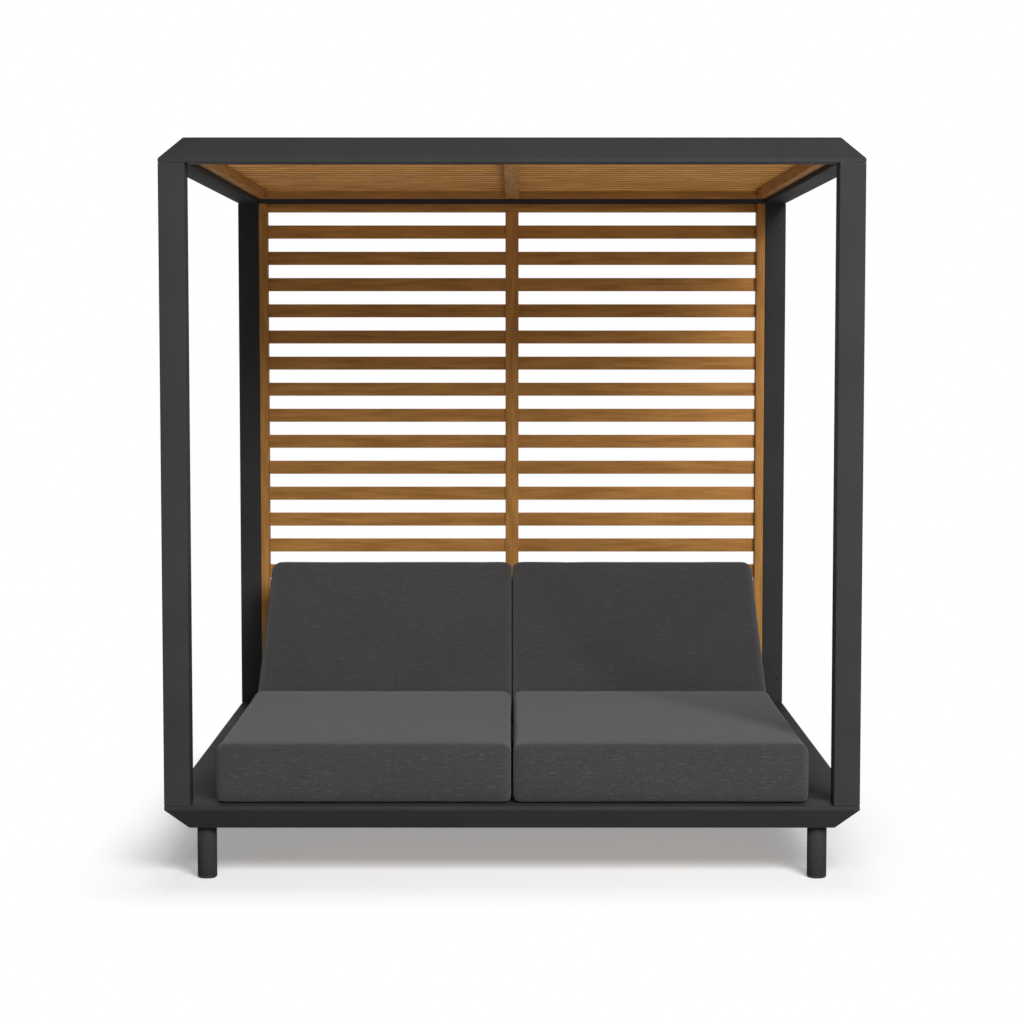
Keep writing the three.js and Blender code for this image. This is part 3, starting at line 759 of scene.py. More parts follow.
@dataclass(frozen=True)
class MelangeFabric:
    """Woven outdoor fabric of dark grey melange yarn with short slubs."""

    name: str = "dark_grey_melange"
    ground: Colour = (0.0340, 0.0337, 0.0342, 1.0)
    pale_yarn: Colour = (0.067, 0.066, 0.067, 1.0)
    dark_yarn: Colour = (0.015, 0.015, 0.016, 1.0)
    dusty: Colour = (0.15, 0.145, 0.14, 1.0)
    dust_share: float = 0.02
    threads_per_metre: float = 800.0
    weave_depth: float = 0.35 * MILLIMETRE
    weave_strength: float = 0.7
    roughness: float = 0.92
    sheen: float = 0.165
    sheen_roughness: float = 0.70

    def build(self, effects: SurfaceEffects) -> Material:
        """Makes the material.

        Args:
            effects: The shared node groups.

        Returns:
            The material.
        """
        uniform = {
            "Roughness": self.roughness,
            "Specular IOR Level": 0.0,
            "Sheen Weight": self.sheen,
            "Sheen Roughness": self.sheen_roughness,
        }
        surface = Surface(self.name, uniform, effects)
        sketch = surface.sketch
        inputs = {
            "Vector": sketch.add("ShaderNodeUVMap", uv_map="cloth").outputs[0],
            "Ground": self.ground,
            "Pale Yarn": self.pale_yarn,
            "Dark Yarn": self.dark_yarn,
            "Threads per Metre": self.threads_per_metre,
        }
        cloth = sketch.group(effects.cloth, inputs)
        colour = sketch.blend(surface.dust(self.dust_share), cloth["Color"], self.dusty)
        normal = sketch.bump(cloth["Height"], self.weave_depth, self.weave_strength)
        return surface.feed(Base_Color=colour, Normal=normal)


class Palette:
    """Every finish of the daybed, built once."""

    def __init__(self) -> None:
        """Builds the materials."""
        effects = SurfaceEffects()
        self.coat = PowderCoat().build(effects)
        self.teak = {grain: OiledTeak(grain).build(effects) for grain in Grain}
        self.fabric = MelangeFabric().build(effects)
        self.steel = ZincSteel().build(effects)
        self.screw = BlackOxideSteel().build(effects)
        self.plastic = MouldedPlastic().build(effects)


def link_mesh(name: str, mesh: bpy.types.Mesh) -> Piece:
    """Puts a mesh into the scene.

    Args:
        name: The object's name.
        mesh: Its mesh.

    Returns:
        The object, at the origin.
    """
    piece = bpy.data.objects.new(name, mesh)
    bpy.context.scene.collection.objects.link(piece)
    return piece


def link_shape(name: str, shape: bmesh.types.BMesh) -> Piece:
    """Puts a shape into the scene.

    Args:
        name: The object's name.
        shape: Its shape, which is freed.

    Returns:
        The object, at the origin.
    """
    mesh = bpy.data.meshes.new(name)
    shape.to_mesh(mesh)
    shape.free()
    return link_mesh(name, mesh)


def settle(piece: Piece) -> Piece:
    """Keeps what the modifiers make of a piece as its plain mesh.

    Args:
        piece: The piece, whose modifiers are dropped.

    Returns:
        The same piece.
    """
    depsgraph = bpy.context.evaluated_depsgraph_get()
    evaluated = piece.evaluated_get(depsgraph)
    mesh = bpy.data.meshes.new_from_object(evaluated, preserve_all_data_layers=True, depsgraph=depsgraph)
    piece.modifiers.clear()
    piece.data = mesh
    return piece


def ease_edges(piece: Piece, easing: float, **settings: Any) -> Piece:
    """Rounds the sharp edges of a piece.

    Args:
        piece: The piece.
        easing: How far each rounded edge reaches.
        **settings: The bevel's other properties.

    Returns:
        The same piece.
    """
    bevel = piece.modifiers.new("eased_edges", "BEVEL")
    bevel.width = easing
    bevel.segments = 2
    bevel.limit_method = "ANGLE"
    for name, value in settings.items():
        setattr(bevel, name, value)
    return settle(piece)


def shade_by_angle(piece: Piece, degrees: float) -> Piece:
    """Shades a piece smoothly, apart from its sharp edges.

    Args:
        piece: The piece.
        degrees: Edges that turn by more than this are sharp.

    Returns:
        The same piece.
    """
    piece.data.shade_smooth()
    piece.data.set_sharp_from_angle(angle=math.radians(degrees))
    return piece


def round_corners(points: Sequence[OutlinePoint], radius: float, steps: int) -> list[OutlinePoint]:
    """Rounds the inner corners of an open outline.

    Args:
        points: The outline's corners.
        radius: How far the rounding reaches along each edge, at most.
        steps: Edges in each rounded corner.

    Returns:
        The rounded outline, with its two ends as they were.
    """
    rounded = [tuple(points[0])]
    for before, corner, after in zip(points, points[1:], points[2:]):
        here = Vector(corner)
        arms = [Vector(end) - here for end in (before, after)]
        start, stop = [here + arm.normalized() * min(radius, arm.length / 2) for arm in arms]
        for step in range(steps + 1):
            share = step / steps
            curve = start * (1 - share) ** 2 + here * (2 * share * (1 - share)) + stop * share**2
            rounded.append((curve.x, curve.y))
    rounded.append(tuple(points[-1]))
    return rounded


def bar_outline(
    radius: float, low: float, high: float, edge: float, bore: float = 0.0
) -> list[OutlinePoint]:
    """Outline of a bar or a tube with chamfered ends, for the lathe.

    Args:
        radius: The outer radius.
        low: Where the bar starts along its axis.
        high: Where it ends.
        edge: How far each chamfer reaches.
        bore: The radius of a tube's bore.

    Returns:
        Radius and height of each corner.
    """
    inside = radius - edge
    start = [(bore, low), (inside, low), (radius, low + edge)]
    return start + [(radius, high - edge), (inside, high), (bore, high)]


@dataclass(frozen=True)
class Lathe:
    """Turns an outline of (radius, height) round an axis into a closed mesh."""

    sides: int = 64

    def turn(self, name: str, outline: Sequence[OutlinePoint], place: Matrix, angle: float = 50.0) -> Piece:
        """Makes a turned piece.

        Args:
            name: The piece's name.
            outline: Radius and height of each ring. It starts and ends on the axis, or closes itself.
            place: Where the axis, which is local Z, lies.
            angle: Edges that turn by more degrees than this look sharp.

        Returns:
            The piece, with its place in its mesh.
        """
        shape = bmesh.new()
        rings = [self._ring(shape, radius, height) for radius, height in outline]
        pairs = list(zip(rings, rings[1:]))
        if outline[0][0] > 0:
            pairs.append((rings[-1], rings[0]))
        for lower, upper in pairs:
            self._skin(shape, lower, upper)
        bmesh.ops.recalc_face_normals(shape, faces=shape.faces)
        shape.transform(place)
        return shade_by_angle(link_shape(name, shape), angle)

    def _ring(self, shape: bmesh.types.BMesh, radius: float, height: float) -> list[bmesh.types.BMVert]:
        """Adds one ring of points, or a single point on the axis."""
        turns = [FULL_TURN * step / self.sides for step in range(self.sides if radius else 1)]
        return [shape.verts.new((radius * math.cos(a), radius * math.sin(a), height)) for a in turns]

    @staticmethod
    def _skin(
        shape: bmesh.types.BMesh, lower: list[bmesh.types.BMVert], upper: list[bmesh.types.BMVert]
    ) -> None:
        """Joins two rings with faces.

        Args:
            shape: The shape that is turned.
            lower: The points of one ring.
            upper: The points of the next, in the same order.
        """
        count = max(len(lower), len(upper))
        for step in range(count):
            following = (step + 1) % count
            corners = [lower[step % len(lower)], lower[following % len(lower)]]
            corners += [upper[following % len(upper)], upper[step % len(upper)]]
            shape.faces.new(list(dict.fromkeys(corners)))


def skin_between(shape: bmesh.types.BMesh, rows: Sequence[list[bmesh.types.BMVert]]) -> None:
    """Closes a shape over rows of points that run round it, with a cap on the first and the last.

    Args:
        shape: The shape that the points are in.
        rows: The rows, each with as many points.
    """
    for lower, upper in zip(rows, rows[1:]):
        for step, point in enumerate(lower):
            after = (step + 1) % len(lower)
            shape.faces.new((point, lower[after], upper[after], upper[step]))
    shape.faces.new(rows[0])
    shape.faces.new(rows[-1])
    bmesh.ops.recalc_face_normals(shape, faces=shape.faces)


def along_x(start: Vector) -> Matrix:
    """The place of a lathe axis that starts at a point and runs along +X."""
    return Matrix.Translation(start) @ Matrix.Rotation(QUARTER_TURN, 4, "Y")


@dataclass
class Workshop:
    """What every sub-assembly needs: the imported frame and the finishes."""

    frame: dict[str, Any]
    palette: Palette

    def joint_place(self, body: str) -> Vector:
        """Where the joint lies that a body turns about."""
        return Vector(next(joint for joint in self.frame["joints"] if joint["child"] == body)["pos_m"])

    def dress(self, node: str, material: Material) -> None:
        """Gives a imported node, whose shape is right, its material."""
        for slot in self.frame["nodes"][node].material_slots:
            slot.material = material

    def finish(self, piece: Piece, slot: Slot, material: Material | None, node: str = "") -> None:
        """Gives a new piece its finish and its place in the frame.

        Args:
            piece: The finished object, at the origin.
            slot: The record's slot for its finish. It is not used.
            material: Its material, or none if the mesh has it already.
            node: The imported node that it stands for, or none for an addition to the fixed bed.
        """
        if material is not None:
            piece.data.materials.clear()
            piece.data.materials.append(material)
        body = self.frame["nodes"][node]["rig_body"] if node else "root"
        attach(piece, body)
        if node:
            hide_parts(node)
        LOG.info("%s: %d faces on %s", piece.name, len(piece.data.polygons), body)

    def eased_copy(self, node: str, easing: float) -> Piece:
        """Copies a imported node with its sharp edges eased.

        Args:
            node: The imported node.
            easing: How far each rounded edge reaches.

        Returns:
            The copy, at the origin, with plain faces and hardened normals.
        """
        shape = bmesh.new()
        shape.from_mesh(self.frame["nodes"][node].data)
        bmesh.ops.remove_doubles(shape, verts=shape.verts, dist=MERGE_DISTANCE)
        bmesh.ops.dissolve_limit(shape, angle_limit=FLAT_ANGLE, verts=shape.verts, edges=shape.edges)
        for face in shape.faces:
            face.smooth = True
        piece = link_shape(f"{node}_eased", shape)
        return ease_edges(piece, easing, angle_limit=EASED_ANGLE, harden_normals=True)


@dataclass
class CoatedFrame:
    """Base ring, canopy ring and posts, with rounded extrusion edges."""

    shop: Workshop
    easing: float = 0.5 * MILLIMETRE

    def build(self) -> None:
        """Remakes the rails and posts with rounded edges."""
        nodes = [f"{ring}_rail_{side}" for ring in ("base", "canopy") for side in RING_SIDES]
        for node in nodes + [f"post_{corner}" for corner in CORNERS]:
            piece = self.shop.eased_copy(node, self.easing)
            self.shop.finish(piece, Slot.COAT, self.shop.palette.coat, node)


@dataclass
class Legs:
    """Round legs, each with a plug-in glide."""

    shop: Workshop
    wall: float = 3 * MILLIMETRE
    edge: float = 0.8 * MILLIMETRE
    glide_base_inset: float = 4 * MILLIMETRE
    glide_height: float = 7.7 * MILLIMETRE
    stem_gap: float = 0.3 * MILLIMETRE
    recess_depth: float = 1.2 * MILLIMETRE
    recess_rim_share: float = 0.72
    corner_steps: int = 3
    lathe: Lathe = Lathe(96)

    def build(self) -> None:
        """Makes the four legs and their glides."""
        for corner in CORNERS:
            self._turned(f"leg_{corner}", "tube", self._tube, Slot.COAT, self.shop.palette.coat)
            plastic = self.shop.palette.plastic
            self._turned(f"glide_{corner}", "moulded", self._glide, Slot.PLASTIC, plastic)

    def _turned(
        self,
        node: str,
        kind: str,
        outline: Callable[[float, float, float], list[OutlinePoint]],
        slot: Slot,
        material: Material,
    ) -> None:
        """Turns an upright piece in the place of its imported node.

        Args:
            node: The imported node.
            kind: What the piece's name adds to the node's.
            outline: Makes the outline from the radius, the bottom and the top.
            slot: The record's slot.
            material: The piece's material.
        """
        low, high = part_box(node)
        centre = (low + high) / 2
        place = Matrix.Translation((centre.x, centre.y, 0.0))
        piece = self.lathe.turn(f"{node}_{kind}", outline((high.x - low.x) / 2, low.z, high.z), place)
        self.shop.finish(piece, slot, material, node)

    def _tube(self, radius: float, bottom: float, top: float) -> list[OutlinePoint]:
        """Outline of a leg tube."""
        return bar_outline(radius, bottom, top, self.edge, radius - self.wall)

    def _glide(self, radius: float, bottom: float, top: float) -> list[OutlinePoint]:
        """Outline of a rounded foot with a shallow recess below and a stem inside the leg.

        Args:
            radius: The foot's radius.
            bottom: The height of its underside.
            top: The height of the stem's end.

        Returns:
            Radius and height of each corner.
        """
        stem = radius - self.wall - self.stem_gap
        rim = radius * self.recess_rim_share
        foot = [
            (rim, self.recess_depth),
            (rim, bottom),
            (radius - self.glide_base_inset, bottom),
            (radius, bottom + self.glide_base_inset),
            (radius, bottom + self.glide_height),
            (stem, bottom + self.glide_height),
            (stem, top),
        ]
        rounded = round_corners(foot, self.edge, self.corner_steps)
        return [(0.0, self.recess_depth), *rounded, (0.0, top)]


class SlatTree:
    """Geometry nodes that lay parallel slats, with spacers between their ends."""

    def __init__(self) -> None:
        """Builds the tree."""
        lengths = dict.fromkeys(("Length", "Width", "Thickness", "Easing", "Tongue"), ("Float", None))
        counts = dict.fromkeys(("Count", "Seed"), ("Int", None))
        vectors = dict.fromkeys(("First", "Step", "Turn"), ("Vector", None))
        inputs = {**lengths, **counts, **vectors, "Material": ("Material", None)}
        self.group = NodeGroup("slat_bank", inputs, {"Geometry": "Geometry"}, "GeometryNodeTree")
        sketch, given = self.group.sketch, self.group.given
        slats = self._row(self._board(given["Length"], given["Width"]), given["First"], given["Count"])
        pitch = sketch.measure("LENGTH", given["Step"])
        spacer = self._board(given["Tongue"], sketch.math("SUBTRACT", pitch, given["Width"]))
        half_step = sketch.vector("MULTIPLY", given["Step"], (0.5, 0.5, 0.5))
        near = sketch.vector("ADD", given["First"], half_step)
        reach = sketch.combine(sketch.math("SUBTRACT", given["Length"], given["Tongue"]))
        between = sketch.math("SUBTRACT", given["Count"], 1.0)
        near_row = self._row(spacer, near, between)
        far_row = self._row(spacer, sketch.vector("ADD", near, reach), between)
        joined = sketch.add("GeometryNodeJoinGeometry")
        for row in (far_row, near_row, slats):
            sketch.tree.links.new(row, joined.inputs[0])
        tone = sketch.add(
            "FunctionNodeRandomValue", {2: 0.0, 3: 1.0, "Seed": given["Seed"]}, data_type="FLOAT"
        ).outputs[1]
        toned = {"Geometry": joined.outputs[0], "Name": "board", "Value": tone}
        named = sketch.add(
            "GeometryNodeStoreNamedAttribute", toned, data_type="FLOAT", domain="INSTANCE"
        )
        self.group.realize(named.outputs[0])

    def _board(self, length: Socket, width: Socket) -> Socket:
        """A board along +X from the origin, with eased long edges.

        Args:
            length: The board's length.
            width: The board's width.

        Returns:
            Its geometry.
        """
        sketch, given = self.group.sketch, self.group.given
        sizes = {"Width": width, "Height": given["Thickness"]}
        outline = sketch.add("GeometryNodeCurvePrimitiveQuadrilateral", sizes, mode="RECTANGLE").outputs[0]
        rounding = {"Curve": outline, "Count": 3, "Radius": given["Easing"]}
        eased = sketch.add("GeometryNodeFilletCurve", rounding, mode="POLY").outputs[0]
        ends = {"Start": (0.0, 0.0, 0.0), "End": sketch.combine(length)}
        path = sketch.add("GeometryNodeCurvePrimitiveLine", ends).outputs[0]
        sweep = {"Curve": path, "Profile Curve": eased, "Fill Caps": True}
        return sketch.add("GeometryNodeCurveToMesh", sweep).outputs[0]

    def _row(self, board: Socket, start: Socket, count: Socket) -> Socket:
        """Copies of a board, one step apart.

        Args:
            board: The board's geometry.
            start: Where the first one lies.
            count: How many there are.

        Returns:
            The instances.
        """
        sketch, given = self.group.sketch, self.group.given
        spacing = {"Count": count, "Start Location": start, "Offset": given["Step"]}
        line = sketch.add("GeometryNodeMeshLine", spacing, mode="OFFSET", count_mode="TOTAL").outputs[0]
        copies = {"Points": line, "Instance": board, "Rotation": given["Turn"]}
        return sketch.add("GeometryNodeInstanceOnPoints", copies).outputs[0]


@dataclass
class TimberLattice:
    """A teak frame of rails or stiles with a bank of slats on each side of its middle member."""

    shop: Workshop
    slat_tree: SlatTree
    name: str
    members: Mapping[Grain, Sequence[str]]
    slat_count: int
    upright: bool
    seed: int
    slat_width: float = 48 * MILLIMETRE
    tongue: float = 7.7 * MILLIMETRE
    slat_easing: float = 1.6 * MILLIMETRE
    member_easing: float = 1.2 * MILLIMETRE

    def build(self) -> None:
        """Makes the lattice's members and slats."""
        members = [(member, grain) for grain, names in self.members.items() for member in names]
        for number, (member, grain) in enumerate(members):
            node = f"{self.name}_{member}"
            piece = self.shop.eased_copy(node, self.member_easing)
            tone = noise.cell(Vector((self.seed, number, 0.5)))
            board = piece.data.attributes.new("board", "FLOAT", "POINT")
            board.data.foreach_set("value", [tone] * len(piece.data.vertices))
            self.shop.finish(piece, Slot.TEAK, self.shop.palette.teak[grain], node)
        for side in Side:
            self._slats(side)

    def _slats(self, side: Side) -> None:
        """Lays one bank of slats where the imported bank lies.

        Args:
            side: The half that the bank lies in.
        """
        node = f"{self.name}_slats_{side.label}"
        low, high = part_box(node)
        size = high - low
        run, across = (2, 1) if self.upright else (1, 2)
        first = (low + high) / 2
        first.x = low.x
        first[run] = low[run] + self.slat_width / 2
        step = Vector()
        step[run] = (size[run] - self.slat_width) / (self.slat_count - 1)
        values = {
            "Length": size.x,
            "Width": self.slat_width,
            "Thickness": size[across],
            "Easing": self.slat_easing,
            "Tongue": self.tongue,
            "Count": self.slat_count,
            "Seed": self.seed + side.value,
            "First": tuple(first),
            "Step": tuple(step),
            "Turn": (QUARTER_TURN if self.upright else 0.0, 0.0, 0.0),
            "Material": self.shop.palette.teak[Grain.ALONG_X],
        }
        name = f"{node}_bank"
        piece = self.slat_tree.group.run(link_mesh(name, bpy.data.meshes.new(name)), values)
        self.shop.finish(piece, Slot.TEAK, None, node)


@dataclass
class PostScrews:
    """Button-head screws that hold the posts on their spigots."""

    shop: Workshop
    head_radius: float = 5.25 * MILLIMETRE
    head_height: float = 3.0 * MILLIMETRE
    top_radius: float = 3.2 * MILLIMETRE
    socket_half_width: float = 2.0 * MILLIMETRE
    socket_depth: float = 2.0 * MILLIMETRE
    sunk: float = 0.2 * MILLIMETRE
    edge_inset: float = 20 * MILLIMETRE
    from_top: float = 95 * MILLIMETRE
    from_bottom: float = 88 * MILLIMETRE
    sides: int = 24
    dome_steps: int = 4

    def build(self) -> None:
        """Places two screws in each post, on the face that looks into the bed."""
        points: list[Facing] = []
        for corner in CORNERS:
            low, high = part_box(f"post_{corner}")
            rear, left = corner.startswith("rear"), corner.endswith("left")
            inset = self.edge_inset if left else -self.edge_inset
            across = (low.x if left else high.x) + inset
            inward = Vector((0.0, -1.0 if rear else 1.0, 0.0))
            for height in (low.z + self.from_bottom, high.z - self.from_top):
                points.append((Vector((across, low.y if rear else high.y, height)), inward))
        self.shop.finish(self._set(points), Slot.STEEL, None)

    def _set(self, points: Sequence[Facing]) -> Piece:
        """Sets a screw head on each point.

        Args:
            points: Place and facing of each head.

        Returns:
            All the heads as one plain mesh.
        """
        mesh = bpy.data.meshes.new("post_screws")
        mesh.from_pydata([tuple(place) for place, _ in points], [], [])
        facing = mesh.attributes.new("facing", "FLOAT_VECTOR", "POINT")
        facing.data.foreach_set("vector", [value for _, way in points for value in way])
        head = self._head()
        values = {"Head": head, "Scale": 1.0, "Material": self.shop.palette.screw}
        piece = self._tree().run(link_mesh("post_screws", mesh), values)
        bpy.data.objects.remove(head)
        return piece

    @staticmethod
    def _tree() -> NodeGroup:
        """Draws geometry nodes that set a head on each point, facing along the point's direction.

        Returns:
            The tree's group.
        """
        inputs = {
            "Geometry": ("Geometry", None),
            "Head": ("Object", None),
            "Scale": ("Float", 1.0),
            "Material": ("Material", None),
        }
        group = NodeGroup("screw_set", inputs, {"Geometry": "Geometry"}, "GeometryNodeTree")
        sketch, given = group.sketch, group.given
        head = sketch.add("GeometryNodeObjectInfo", {"Object": given["Head"]}).outputs["Geometry"]
        facing = sketch.add(
            "GeometryNodeInputNamedAttribute", {"Name": "facing"}, data_type="FLOAT_VECTOR"
        ).outputs[0]
        turn = sketch.add("FunctionNodeAlignRotationToVector", {"Vector": facing}, axis="Z").outputs[0]
        copies = {"Points": given["Geometry"], "Instance": head, "Rotation": turn, "Scale": given["Scale"]}
        group.realize(sketch.add("GeometryNodeInstanceOnPoints", copies).outputs[0])
        return group

    def _hexagon(self, turn: float) -> float:
        """Radius of the socket's hexagon at an angle."""
        sixth = FULL_TURN / 6
        return self.socket_half_width / math.cos(turn % sixth - sixth / 2)

    def _head(self) -> Piece:
        """Makes a domed head with a hexagon socket.

        Returns:
            The head, on the XY plane and facing +Z.
        """
        turns = [FULL_TURN * step / self.sides for step in range(self.sides)]
        rings = [[(self.head_radius, -self.sunk)] * self.sides]
        for step in range(self.dome_steps + 1):
            rise = QUARTER_TURN * step / self.dome_steps
            radius = self.top_radius + (self.head_radius - self.top_radius) * math.cos(rise)
            rings.append([(radius, self.head_height * math.sin(rise))] * self.sides)
        for height in (self.head_height, self.head_height - self.socket_depth):
            rings.append([(self._hexagon(turn), height) for turn in turns])
        shape = bmesh.new()
        rows = [
            [shape.verts.new((r * math.cos(a), r * math.sin(a), z)) for (r, z), a in zip(ring, turns)]
            for ring in rings
        ]
        skin_between(shape, rows)
        return link_shape("screw_head", shape)


@dataclass
class BedInterior:
    """Beams, seat platforms, hinge rods and racks inside the base ring."""

    shop: Workshop
    rod_edge: float = 1.0 * MILLIMETRE
    rod_sharp_degrees: float = 30.0
    lathe: Lathe = Lathe(48)

    def build(self) -> None:
        """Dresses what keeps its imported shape, and turns the hinge rods."""
        palette = self.shop.palette
        kinds = {"hinge_beam": palette.coat, "back_frame": palette.coat, "prop_rack": palette.steel}
        kinds["seat_platform"] = palette.teak[Grain.ALONG_X]
        finishes = {f"{kind}_{side.label}": kinds[kind] for kind in kinds for side in Side}
        finishes["centre_beam"] = palette.coat
        for corner in CORNERS:
            for ring in ("base", "canopy"):
                finishes[f"{ring}_spigot_{corner}"] = palette.steel
        for node, material in finishes.items():
            self.shop.dress(node, material)
        for side in Side:
            self._hinge_rod(f"hinge_rod_{side.label}")

    def _hinge_rod(self, node: str) -> None:
        """Turns one hinge rod with chamfered ends.

        Args:
            node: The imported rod.
        """
        low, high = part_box(node)
        outline = bar_outline((high.z - low.z) / 2, 0.0, high.x - low.x, self.rod_edge)
        start = (low + high) / 2
        start.x = low.x
        piece = self.lathe.turn(f"{node}_turned", outline, along_x(start), self.rod_sharp_degrees)
        self.shop.finish(piece, Slot.STEEL, self.shop.palette.steel, node)


@dataclass
class Prop:
    """A bail that holds a back: pivot bar, foot bar and two flat arms, welded."""

    shop: Workshop
    side: Side
    lean: float = math.radians(35.0)
    pivot_radius: float = 5 * MILLIMETRE
    foot_radius: float = 8 * MILLIMETRE
    arm_width: float = 16 * MILLIMETRE
    arm_thickness: float = 6 * MILLIMETRE
    bar_overhang: float = 7 * MILLIMETRE
    edge: float = 0.7 * MILLIMETRE
    weld_radius: float = 2.2 * MILLIMETRE
    weld_steps: int = 4
    sharp_degrees: float = 35.0
    lathe: Lathe = Lathe(40)

    def build(self) -> None:
        """Welds the bars and arms into one closed mesh."""
        node = f"prop_{self.side.label}"
        low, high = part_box(node)
        pivot = self.shop.joint_place(node)
        half_bar = (high.x - low.x) / 2
        half_width = half_bar - self.bar_overhang
        length = (pivot.z - (low.z + self.foot_radius)) / math.sin(self.lean)
        bars = ((0.0, self.pivot_radius, half_bar), (length, self.foot_radius, half_width))
        parts = [self._bar(radius, half, along) for along, radius, half in bars]
        for sign in (-1.0, 1.0):
            outer = sign * half_width
            inner = sign * (half_width - self.arm_thickness)
            parts.append(self._arm(min(outer, inner), length))
            parts += [self._weld(inner, along, radius) for along, radius, _ in bars]
        piece = self._join(f"{node}_welded", parts)
        piece.data.transform(Matrix.Translation(pivot) @ Matrix.Rotation(-self.lean, 4, "X"))
        shade_by_angle(piece, self.sharp_degrees)
        self.shop.finish(piece, Slot.STEEL, self.shop.palette.steel, node)

    def _bar(self, radius: float, half: float, along: float) -> Piece:
        """A round bar across the prop, as long as twice the half."""
        outline = bar_outline(radius, 0.0, 2 * half, self.edge)
        return self.lathe.turn("bar", outline, along_x(Vector((-half, along, 0.0))))

    def _arm(self, start: float, length: float) -> Piece:
        """A flat arm with a round head at the pivot.

        Args:
            start: Where its left face lies.
            length: From the pivot bar to the foot bar.

        Returns:
            The arm.
        """
        half = self.arm_width / 2
        count = self.lathe.sides // 2
        turns = [QUARTER_TURN + math.pi * step / count for step in range(count + 1)]
        outline = [(half * math.cos(turn), half * math.sin(turn)) for turn in turns]
        outline += [(length, -half), (length, half)]
        shape = bmesh.new()
        faces = (start, start + self.arm_thickness)
        skin_between(shape, [[shape.verts.new((x, y, z)) for y, z in outline] for x in faces])
        return ease_edges(link_shape("arm", shape), self.edge)

    def _weld(self, face: float, along: float, radius: float) -> Piece:
        """A weld bead round a bar where it meets an arm's inner face.

        Args:
            face: Where the arm's inner face lies.
            along: Where the bar lies along the arm.
            radius: The bar's radius.

        Returns:
            The bead.
        """
        bead = self.weld_radius
        sign = 1.0 if face < 0 else -1.0
        turns = [QUARTER_TURN * step / self.weld_steps for step in range(1, self.weld_steps)]
        curve = [(radius + bead * math.cos(turn), bead * math.sin(turn)) for turn in turns]
        outline = [(0.0, 0.0), (radius + bead, 0.0), *curve, (radius, bead), (0.0, bead)]
        place = Matrix.Translation((face - sign * self.edge, along, 0.0))
        return self.lathe.turn("weld", outline, place @ Matrix.Rotation(sign * QUARTER_TURN, 4, "Y"))

    @staticmethod
    def _join(name: str, parts: Sequence[Piece]) -> Piece:
        """Unites closed parts into one closed mesh.

        Args:
            name: The piece's name.
            parts: The parts, which are removed.

        Returns:
            The piece.
        """
        piece = link_mesh(name, parts[0].data.copy())
        for part in parts[1:]:
            union = piece.modifiers.new("weld", "BOOLEAN")
            union.operation = "UNION"
            union.solver = "EXACT"
            union.object = part
        settle(piece)
        for part in parts:
            bpy.data.objects.remove(part)
        return piece


@dataclass(frozen=True)
class CushionForm:
    """Roundings, crown, grid and ripples of one kind of cushion."""

    rounding: float = 28 * MILLIMETRE
    corner_reach: float = 45 * MILLIMETRE
    corner_share: float = 0.25
    foot_share: float = 0.42
    crown: float = 2 * MILLIMETRE
    crown_power: int = 4
    draw_in: float = 1.5 * MILLIMETRE
    cell: float = 13 * MILLIMETRE
    edge_steps: int = 4
    swell_limit: float = 4 * MILLIMETRE
    unswollen: float = 2 * MILLIMETRE
    ripple_height: float = 0.5 * MILLIMETRE
    pressed: float = 2 * MILLIMETRE
    parting: float = 0.0
    ripples_per_metre: float = 9.0
    fill: float = 0.85


@dataclass(frozen=True)
class Fullness:
    """How far a stuffed cushion reaches past its packed form at each face."""

    outer: float = 6 * MILLIMETRE
    inner: float = 2.5 * MILLIMETRE
    foot: float = 0.0
    head: float = 0.0
    top: float = 0.0

    def reach(self, side: Side) -> tuple[np.ndarray, np.ndarray]:
        """The reach past the low and the high end of each axis, for one half of the bed."""
        flanks = (self.outer, self.inner) if side is Side.LEFT else (self.inner, self.outer)
        return np.array([flanks[0], self.foot, 0.0]), np.array([flanks[1], self.head, self.top])


@dataclass(frozen=True)
class ClothRun:
    """Swells closed covers by the pressure of their filling."""

    frames: int = 20
    pressure: float = 4.0
    ease: float = -0.02
    quality: int = 4
    mass: float = 0.3
    stretch_stiffness: float = 20.0
    shear_stiffness: float = 8.0
    bending_stiffness: float = 0.8

    def swell(self, covers: Sequence[Piece]) -> list[np.ndarray]:
        """Runs the frames with Cloth on each cover.

        Args:
            covers: Closed meshes.

        Returns:
            The points of each cover, in order, after the last frame.
        """
        scene = bpy.context.scene
        for cover in covers:
            self._dress(cover.modifiers.new("cloth", "CLOTH"))
        for number in range(1, self.frames + 1):
            scene.frame_set(number)
        depsgraph = bpy.context.evaluated_depsgraph_get()
        swollen = []
        for cover in covers:
            evaluated = cover.evaluated_get(depsgraph)
            swollen.append(values_of(evaluated.to_mesh().vertices, "co"))
            evaluated.to_mesh_clear()
        for cover in covers:
            cover.modifiers.clear()
        scene.frame_set(1)
        return swollen

    def _dress(self, cloth: bpy.types.ClothModifier) -> None:
        """Gives a Cloth modifier the fabric's properties and the filling's pressure.

        Args:
            cloth: The modifier.
        """
        cloth.point_cache.frame_start = 1
        cloth.point_cache.frame_end = self.frames
        cloth.settings.quality = self.quality
        cloth.settings.mass = self.mass
        cloth.settings.tension_stiffness = self.stretch_stiffness
        cloth.settings.compression_stiffness = self.stretch_stiffness
        cloth.settings.shear_stiffness = self.shear_stiffness
        cloth.settings.bending_stiffness = self.bending_stiffness
        cloth.settings.use_pressure = True
        cloth.settings.uniform_pressure_force = self.pressure
        cloth.settings.shrink_min = self.ease
        cloth.settings.effector_weights.gravity = 0.0
        cloth.collision_settings.use_collision = False
        cloth.collision_settings.use_self_collision = False


